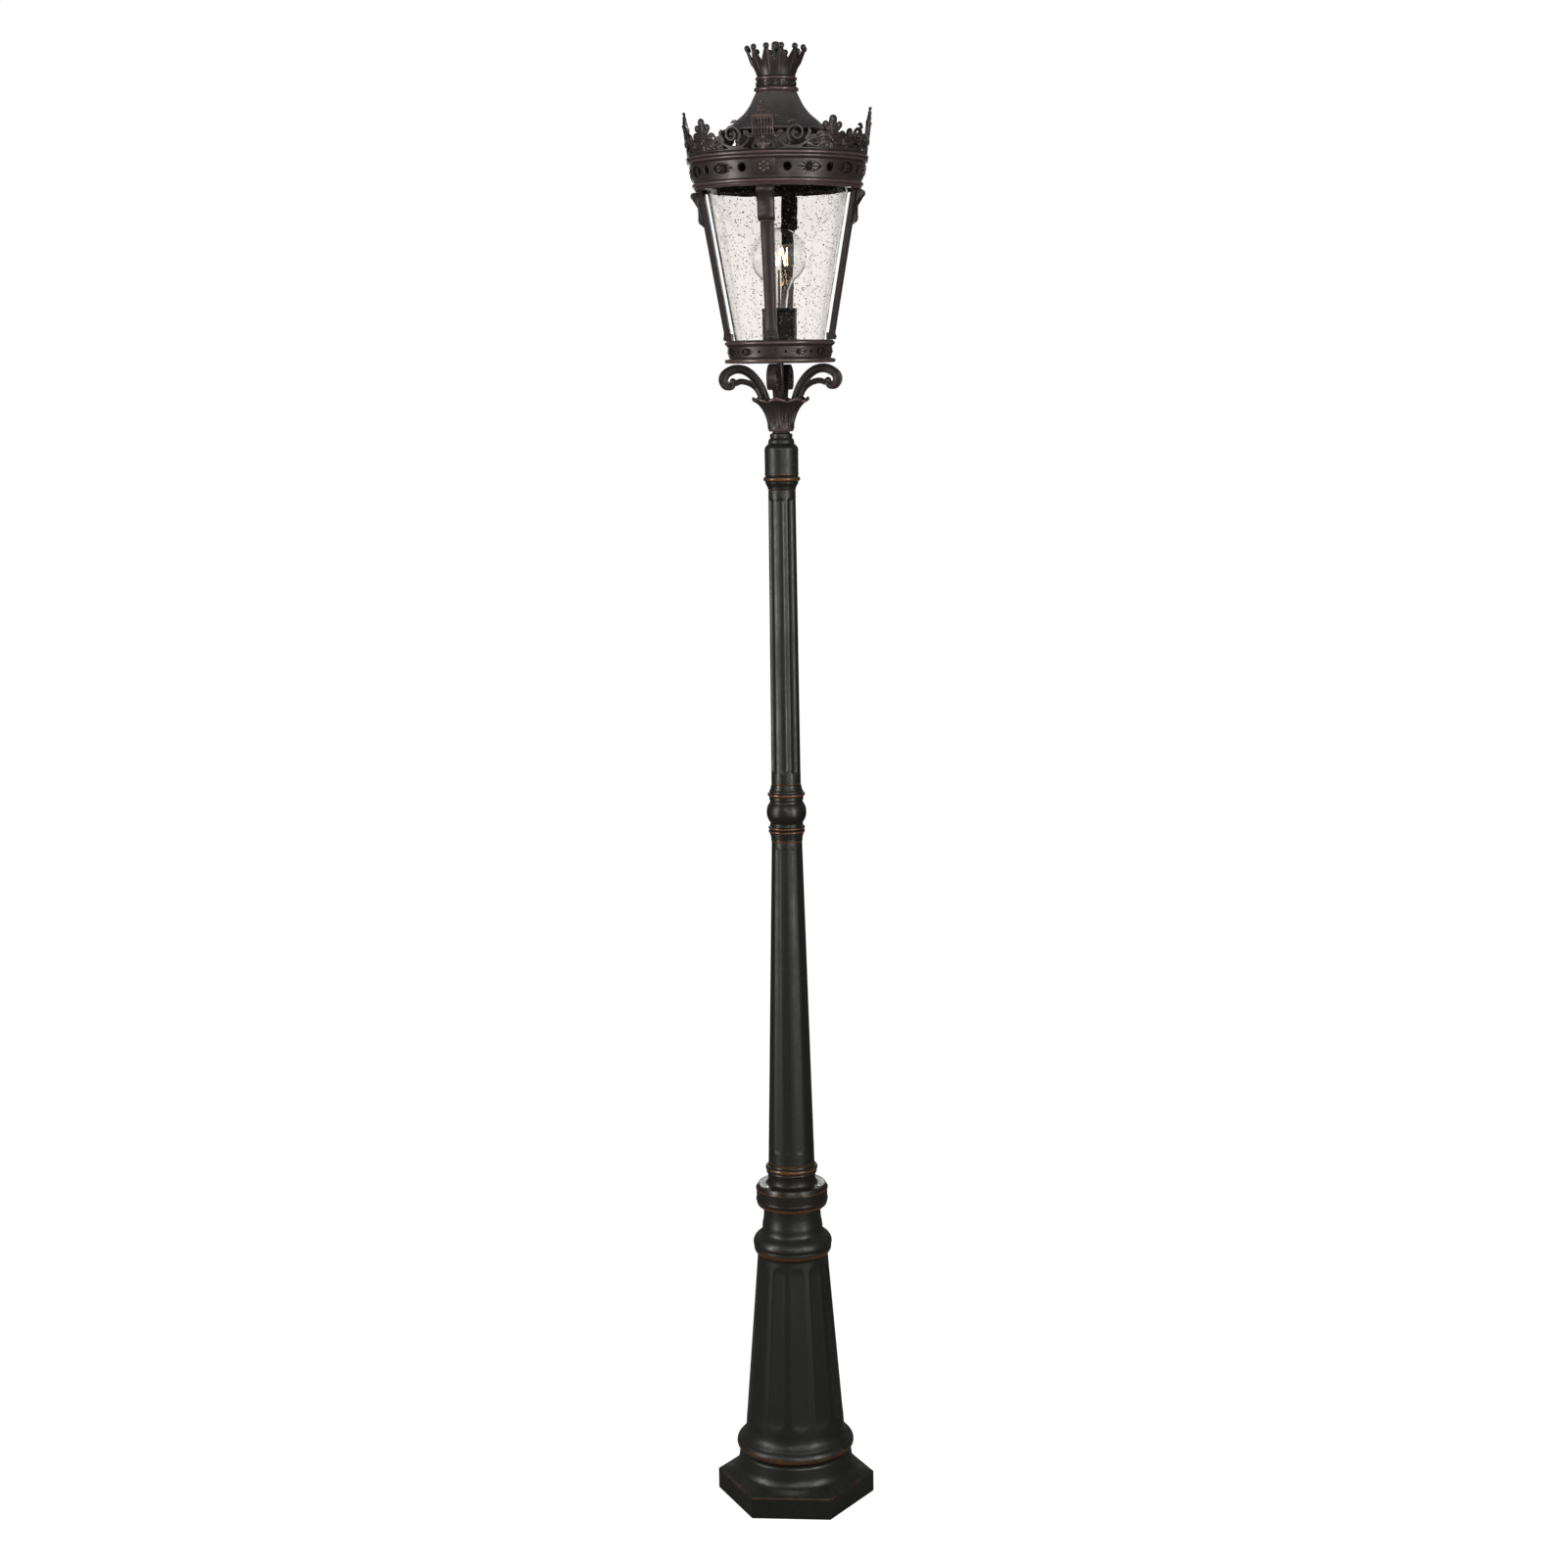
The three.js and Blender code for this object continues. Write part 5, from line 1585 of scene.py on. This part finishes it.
def makeCrest():
    s = crestSizes
    (x, y), thick = s["volute"], s["thick"]
    sweep = flowing([(126, 26), (121, 16), (111, 8.5), (97, 5.4), (82, 6.2), (69, 11), (57, 19), (46, 23),
                     (37, 21)], 6)
    half = [
        stroke(spiral(x, y, s["voluteRadius"], 7.5, -62, 1.35),
               [s["band"] * 1.15, s["band"], s["band"] * 0.85],
               [thick, thick, thick + 0.6], count=76, groove=0.35),
        lump(x, y, 0.8, 6.4, 6.4, 6.2),
        stroke(sweep, [2.8, 3.6, 4.0, 3.6, 2.8], [thick, thick, thick - 0.4], count=64, groove=0.35),
        stroke(spiral(40, 15, 7.0, 3.0, 75, 0.85, 24), [2.8, 2.6, 2.4], thick - 0.2, count=26),
        lump(40.5, 14.6, 0.6, 3.6, 3.6, 4.8),
        stroke(spiral(119, 35, 6.6, 2.6, -110, 1.15, 26), [2.5, 2.3, 2.0], thick - 0.4, count=32),
        lump(119, 35, 0.5, 3.0, 3.0, 4.6),
        leafLobe([(106, 51), (100, 57), (92, 59.5), (84, 56)], 4.2, 3.8),
        leafLobe([(66, 20), (59, 28), (56, 37), (60, 46)], 5.6),
        leafLobe([(63, 12), (53, 11), (45, 6), (42, 3)], 4.4, 3.8),
        leafLobe([(100, 6), (101, 11), (100, 16), (97, 19)], 3.0, 3.8),
        lump(96.4, 17.4, 0.6, 3.8, 3.8, 4.4),
        leafLobe([(2, 9), (14, 15), (26, 14), (34, 6)], 6.0),
        leafLobe([(3, 22), (13, 30), (25, 31), (34, 23)], 6.4),
        leafLobe([(20, 33), (29, 37), (37, 33), (40, 27)], 4.6, 4.2),
        stroke(flowing([(1, 34), (8, 41), (14, 47), (18, 52)], 6), [3.0, 4.6, 7.4, 8.4, 7.0],
               [4.0, 4.8, 5.2, 4.6, 3.0], count=24, groove=0.3),
        lump(18.4, 52.0, 0.2, 8.4, 8.6, 4.6),
        stroke(flowing([(0, 13), (24, 14), (44, 11), (62, 7)], 6), [15.0, 14.0, 9.0, 5.0], 2.2, lift=-1.6,
               count=40, square=0.6),
        leafLobe([(34, 20), (44, 27), (52, 27), (57, 20)], 4.6, 4.0),
        leafLobe([(2, 4), (10, 7), (17, 5), (22, 1)], 4.2, 3.8),
        stroke([(0, 1.8), (60, 1.8), (124, 1.8)], 2.4, 3.6, count=60, square=0.6),
        stroke([(111, 1), (111, 9)], 2.6, 3.2, count=6),
        stroke([(75, 1), (75, 8)], 2.6, 3.2, count=6),
    ]
    centre = [
        stroke(flowing([(0, 30), (0, 42), (0, 54), (0, 64), (0, 72)], 6), [3.6, 5.6, 9.4, 10.6, 6.5],
               [4.4, 5.2, 6.0, 5.4, 2.4], count=30, groove=0.25),
        lump(0, 63.5, 0.4, 10.4, 10.0, 5.4),
        stroke([(0, 0), (0, 14), (0, 30)], [5.5, 4.2, 4.4], [4.2, 4.8, 4.8], count=20, groove=0.3),
        lump(0, 33, 1.0, 9.0, 3.8, 6.0),
        lump(0, 20, 1.2, 5.2, 6.8, 5.6),
    ]
    panel = fuse("crestPanel", [*centre, *bothSides(*half)], s["voxel"], 2)
    panel = moved(panel, crestWrap)
    for k in range(4):
        makePiece(f"crestPanel_{k + 1}", rotated(panel, 45 + 90 * k), "lantern", "lanternBronze",
                  [f"crest_panel_{k + 1}"], 60)


badgeSizes = {"half": 23.6, "low": 29.0, "high": 65.5, "rowHeight": 18.2, "bars": 7, "bar": 1.2, "voxel": 0.8}


def badgeWrap(points):
    s = crestSizes
    radius = s["radius"] + s["lean"] * points[:, 1] + points[:, 2] - 3
    return np.stack([radius, points[:, 0], s["foot"] + points[:, 1]], 1)


def makeBadges():
    s = badgeSizes
    half, low, high = s["half"], s["low"], s["high"]
    pieces = [bar(-half + 1, half - 1, low - 6, high - 1, -2.8, -0.4)]
    pieces += [bar(-half, half, y - 1.3, y + 1.3, -2.8, 3.6)
               for y in (low + 1.3, low + s["rowHeight"], high - 1.3)]
    pieces += [bar(x - 1.5, x + 1.5, low, high, -2.8, 3.8) for x in (-half + 1.5, half - 1.5)]
    spots = np.linspace(-half, half, s["bars"] + 1)
    for row in (low, low + s["rowHeight"]):
        for x in spots[1:-1]:
            pieces.append(stroke([(x, row + 1), (x, row + 17)], s["bar"], 3.4, count=12, square=0.7))
        for x in spots[:-1] + half / s["bars"]:
            pieces.append(lump(x, row + 14.5, 0.6, 2.4, 1.8, 2.2))
    pieces += [bar(-23.8, 23.8, 65, 67.4, -3.0, 4.2), bar(-24.6, 24.6, 67.4, 69.8, -3.4, 5.0),
               bar(-23.4, 23.4, 69.8, 72, -3.0, 4.4)]
    pieces += [slab([(-18, 71.5), (18, 71.5), (14.5, 79), (-14.5, 79)], -2.8, 3.4),
               bar(-12, 12, 78.4, 81, -3.2, 4.4)]
    pieces += [slab([(-8.8, 80.5), (8.8, 80.5), (7.2, 90), (-7.2, 90)], -2.8, 3.6),
               bar(-8.2, 8.2, 88.8, 91, -3.2, 4.2)]
    pieces += [stroke([(0, 90), (0, 97)], [5.2, 2.0], [3.4, 2.4], count=8), lump(0, 98.8, 0.3, 4.0, 4.0, 3.9)]
    pieces += [stroke([(-half, low - 1), (-13, low - 7.5), (0, low - 8.5), (13, low - 7.5),
                       (half, low - 1)], 2.2, 3.8,
                      count=36, groove=0.3), lump(0, low - 4, 1.4, 3.4, 3.4, 3.6)]
    sidePieces = [
        stroke([(half - 1, 58), (29.8, 65)], 1.1, 2.0, count=6), lump(30.8, 68.4, 0.6, 3.5, 3.5, 3.5),
        stroke([(17, 74), (21, 75)], 1.5, 2.4, count=6), lump(21.4, 76.4, 0.5, 2.8, 2.8, 2.8),
        stroke([(9, 82), (11.4, 83)], 1.4, 2.2, count=6), lump(12.0, 84.6, 0.4, 2.9, 2.9, 2.9),
        stroke(spiral(8.6, 11, 6.6, 2.6, 100, -1.1, 26), [2.6, 2.4, 2.0], [3.8, 3.6], count=30),
        lump(8.6, 11, 0.4, 2.8, 2.8, 4.4),
        stroke(flowing([(15, 19), (20, 14), (23, 7), (22, 1)], 5), [2.8, 3.0, 2.6], 3.8, count=24,
               groove=0.3),
        stroke(spiral(29, 27, 6.2, 2.4, 150, -1.1, 26), [2.4, 2.2, 1.8], [3.6, 3.4], count=30),
        lump(29, 27, 0.4, 2.7, 2.7, 4.2),
    ]
    foot = [bar(-4.5, 4.5, 0.2, 24, -2.6, 2.6), leafLobe([(0, 1), (0, 8), (0, 14), (0, 20)], 6.0, 5.0),
            bar(-23, 23, 0.2, 3.4, -2.6, 3.0)]
    badge = fuse("castleBadge", [*pieces, *foot, *bothSides(*sidePieces)], s["voxel"], 1, 1.0)
    badge = moved(badge, badgeWrap)
    for side, angle in armAngles.items():
        makePiece("castleBadge_" + side, rotated(badge, angle), "lantern", "lanternBronze",
                  ["castle_badge_" + side], 60)


makeCrest()
makeBadges()
print("crest made")


# Roof, jewelled band, crown and nut, which lift off together

def makeRoof():
    outside = [
        (91.6, 3160.4), (92, 3162), (92, 3207), (93, 3209), (126.5, 3210.4), (129.0, 3211.4), (130, 3213.5),
        (129, 3215.6), (126, 3216.4),
        *flowing([(125, 3216.6), (118, 3219.2), (105, 3227), (91.8, 3238), (80.6, 3247.6), (72.1, 3255.6),
                  (60.1, 3272), (51.3, 3289), (46.6, 3298.6)], 7),
        (7, 3298.8), (7, 3293), (41, 3293), (47, 3283), (56, 3267), (68, 3250), (82, 3235), (88, 3226),
        (88, 3160.4),
    ]
    makePiece("roofBell", turned(softened(outside, 0.8), evenAngles(192)), "roof_cap", "roofSlate", ["roof"])


bandSizes = {"jewels": 7, "first": -100.0, "pitch": 51.43, "radius": 43.2, "middle": 3317.5}


def makeBand():
    s = bandSizes
    outside = [
        (38, 3299.4), (45.6, 3299.4), *bead(45.4, 3305.1, 5.0, -85, 80, 10), (44, 3310.8), (43.0, 3312),
        (43.0, 3323), (43.6, 3324), *bead(42.8, 3328.6, 4.2, -80, 80, 9), (42.4, 3332.9), (7, 3332.9),
        (7, 3329), (38, 3329),
    ]
    makePiece("jewelBand", turned(softened(outside, 0.5), evenAngles(144)), "roof_cap", "lanternBronze",
              ["crown_band"])
    wrap = friezeWrap(s["radius"], s["middle"], 0.0)
    jewel = [moved(lump(0, s["middle"], 0, 7.6, 2.9, 3.0, 9, 24), wrap)]
    oval = [(10 * math.cos(a), s["middle"] + 5.0 * math.sin(a)) for a in np.linspace(0, 2 * np.pi, 33)]
    jewel.append(moved(stroke(oval, 0.9, 1.8, count=33, sides=8, loop=True), wrap))
    circle = [(4.4 * math.cos(a), s["middle"] + 4.4 * math.sin(a)) for a in np.linspace(0, 2 * np.pi, 25)]
    ringBead = [moved(stroke(circle, 1.1, 2.4, count=25, sides=8, loop=True), wrap),
                moved(lump(0, s["middle"], 0, 2.0, 2.0, 2.2), wrap)]
    setting = together(*jewel, *(rotated(piece, s["pitch"] / 2) for piece in ringBead))
    ringOf("bandJewels", setting, s["jewels"], s["first"], "roof_cap", "lanternBronze")


crownSizes = {"tines": 12, "firstTine": -10.5, "fingerHalf": 4.4, "notchLow": 3363.0, "fingerTop": 3388.0,
              "cupTop": 3350.0, "ball": 7.0, "ballRadius": 64.6, "ballHeight": 3393.5,
              "cupRadius": 50.0, "groove": 0.9, "grooveHalf": 2.4, "grooveLow": 3342.0}


def crownPush(radius, height, angle):
    s = crownSizes
    top = s["cupTop"]
    pitch = 2 * np.pi / s["tines"]
    off = np.abs(((angle - math.radians(s["firstTine"])) / pitch + 0.5) % 1 - 0.5) * pitch * s["ballRadius"]
    widest = pitch * s["ballRadius"] / 2
    fall = np.clip((off - s["fingerHalf"]) / (widest - s["fingerHalf"]), 0, 1)
    rim = s["fingerTop"] - (s["fingerTop"] - s["notchLow"]) * fall
    share = np.clip((height - top) / (s["fingerTop"] - top), 0, 1)
    fresh = np.where(height > top, top + share * (rim - top), height)
    slope = (s["ballRadius"] - s["cupRadius"]) / (s["fingerTop"] - top)
    outward = radius + (fresh - height) * slope
    deepening = np.clip((fresh - s["grooveLow"]) / 10, 0, 1)
    groove = s["groove"] * np.exp(-(off / s["grooveHalf"]) ** 2) * deepening
    return np.where(height > top, outward, radius) - groove, fresh


def makeCrown():
    s = crownSizes
    outside = [
        (7, 3333.4), (42.4, 3333.4), (43.2, 3336), (45.0, 3341), *flowing(
            [(48.6, 3350), (53.3, 3360), (58.4, 3370.5), (63.0, 3380), (66.4, 3388)], 5),
        (62.8, 3388), *flowing([(59.8, 3379), (54.4, 3369), (49.4, 3359), (45.6, 3351), (41, 3338.4)], 5),
        (7, 3338.4),
    ]
    crown = wornAndSheen(turned(softened(outside, 0.5), evenAngles(432, s["firstTine"]), crownPush), 0.1)
    makePiece("crownTines", crown, "roof_cap", "lanternBronze", ["crown"], 75)
    ball = together(lump(s["ballRadius"], 0, s["ballHeight"], s["ball"] * 0.9, s["ball"], s["ball"], 9, 18),
                    lump(s["ballRadius"] - 0.2, 0, s["fingerTop"], 3.0, 5.2, 1.8, 5, 14))
    ringOf("crownBalls", ball, s["tines"], s["firstTine"], "roof_cap", "lanternBronze")


nutSizes = {"knurls": 22, "knurlDepth": 0.5, "knurlLow": 3393.0, "knurlHigh": 3404.0}


def makeFinial():
    s = nutSizes
    rod = [(0, 3285), (4.2, 3285), (5, 3286.4), (5, 3393), (4.2, 3394), (0, 3394)]
    makePiece("finialTieRod", turned(softened(rod, 0.4), evenAngles(24)), "roof_cap", "zincPlate",
              ["finial_rod"])
    outside = [
        (5.4, 3338.6), (11.4, 3338.6), (12, 3340), (12, 3347), (11, 3349.4), (8.4, 3352.6), (7.2, 3356),
        (6.8, 3362),
        (6.8, 3386), (7.6, 3390), (9, 3393), *spaced([(9.2, 3394), (9.2, 3403.4)], 2.4), (8.4, 3406),
        *flowing([(7.4, 3407.6), (4.4, 3409.4), (1.0, 3409.9)], 4), (0, 3409.9),
    ]

    def knurl(radius, height, angle):
        ridges = np.abs(((angle * s["knurls"] / (2 * np.pi)) % 1) - 0.5) * 2
        inBand = (height > s["knurlLow"]) * (height < s["knurlHigh"])
        return radius - s["knurlDepth"] * ridges * inBand, height

    inside = [(0, 3396.2), (5.4, 3396.2)]
    makePiece("finialKnurledNut", turned(softenedCap(outside, inside), evenAngles(132), knurl), "finial",
              "blackEnamel", ["finial_nut"])


def softenedCap(outside, inside):
    # a cap nut's section runs from the end of its bore over its outside and back to the axis
    return softened([inside[0], inside[1], *outside], 0.4)


makeRoof()
makeBand()
makeCrown()
makeFinial()
print("roof and crown made")


# Equipment behind the door

boardSizes = {"y": -34.0, "thick": 4.0, "low": 318.0, "high": 458.0}


def upright(solid, y):
    # turns a flat shape (across, up, out) to stand across the casting, facing the door
    return moved(solid, lambda p: np.stack([p[:, 0], y + p[:, 2], p[:, 1]], 1))


def makeBoard():
    s = boardSizes
    reach = lambda z: math.sqrt((coneRadius(z) - 8) ** 2 - (s["y"] - s["thick"]) ** 2) - 3
    low, high = s["low"], s["high"]
    corner = 5
    outline = [(reach(low) - corner, low), (reach(low), low + corner), (reach(high), high - corner),
               (reach(high) - corner, high)]
    outline += [(-x, z) for x, z in outline[::-1]]
    board = upright(slab(outline, -s["thick"], 0), s["y"])
    makePiece("equipmentPanel", board, "post", "insulatingBoard", ["equipment_board"])


terminalSizes = {"ways": 4, "pitch": 14.0, "low": 392.0, "high": 420.0, "half": 36.0}


def makeTerminals():
    s = terminalSizes
    y = boardSizes["y"]
    block = [upright(bar(-s["half"], s["half"], s["low"], s["high"], 0.3, 18), y)]
    for k in range(s["ways"] + 1):
        x = (k - s["ways"] / 2) * s["pitch"]
        block.append(upright(bar(x - 1.2, x + 1.2, s["low"] + 2, s["high"] - 2, 17.6, 30), y))
    makePiece("terminalStrip", together(*block), "post", "insulatingBoard", ["terminal_block"])
    screws = []
    for k in range(s["ways"]):
        x = (k - (s["ways"] - 1) / 2) * s["pitch"]
        for z in (s["low"] + 8, s["high"] - 8):
            head = turned(softened([(0, 17.8), (3.6, 17.8), (3.6, 20.4), (2.6, 21.4), (0, 21.4)], 0.4),
                          evenAngles(20))
            screws.append(upright(shifted(head, x=x, y=z), y))
            screws.append(upright(shifted(bar(-4.6, 4.6, -5.4, 5.4, 17.6, 18.6), x=x, y=z), y))
    makePiece("terminalScrews", together(*screws), "post", "lampMetal")


fuseSizes = {"half": 15.0, "low": 326.0, "high": 384.0, "proud": 30.0}


def makeFuse():
    s = fuseSizes
    y = boardSizes["y"]
    rings = []
    for depth, inset in ((0.3, 0), (s["proud"] - 3, 0), (s["proud"] - 0.8, 0.8), (s["proud"], 3)):
        rings.append([(x, z, depth) for x, z in (
            (-s["half"] + inset, s["low"] + inset), (s["half"] - inset, s["low"] + inset),
            (s["half"] - inset, s["high"] - inset), (-s["half"] + inset, s["high"] - inset))])
    body = fromRings(np.array(rings, float))
    grip = [stroke([(0, 340), (0, 370)], [8.6, 8.6], [8.4, 8.4], lift=s["proud"], count=12, sides=16,
                   square=0.5)]
    ridges = [stroke([(-8.6, z), (8.6, z)], [0.8, 0.8], [1.2, 1.2], lift=s["proud"] + 7.8, count=6, sides=8)
              for z in np.linspace(344, 366, 6)]
    makePiece("fuseHolder", upright(together(body, *grip, *ridges), y), "post", "blackEnamel",
              ["fuse_carrier"])


cableSizes = {"radius": 4.0}


def makeCable():
    y = boardSizes["y"]
    path = np.array(flowing([(0, y + 12, 420.3), (0, y + 12, 450), (0, -14, 540), (0, -3, 640), (0, 0, 760),
                             (0, 0, 1300), (0, 0, 2000), (0, 0, 2731)], 8))
    run = np.gradient(path, axis=0)
    run /= np.linalg.norm(run, axis=1)[:, None]
    across = np.array([1.0, 0, 0])
    other = np.cross(run, across)
    ring = np.linspace(0, 2 * np.pi, 16, endpoint=False)
    r = cableSizes["radius"]
    rings = path[:, None, :] + r * (np.cos(ring)[None, :, None] * across + np.sin(ring)[None, :, None]
                                    * other[:, None, :])
    makePiece("postCable", fromRings(rings), "post", "cableSheath", ["supply_cable"])


makeBoard()
makeTerminals()
makeFuse()
makeCable()
print("equipment made")


print("object made")
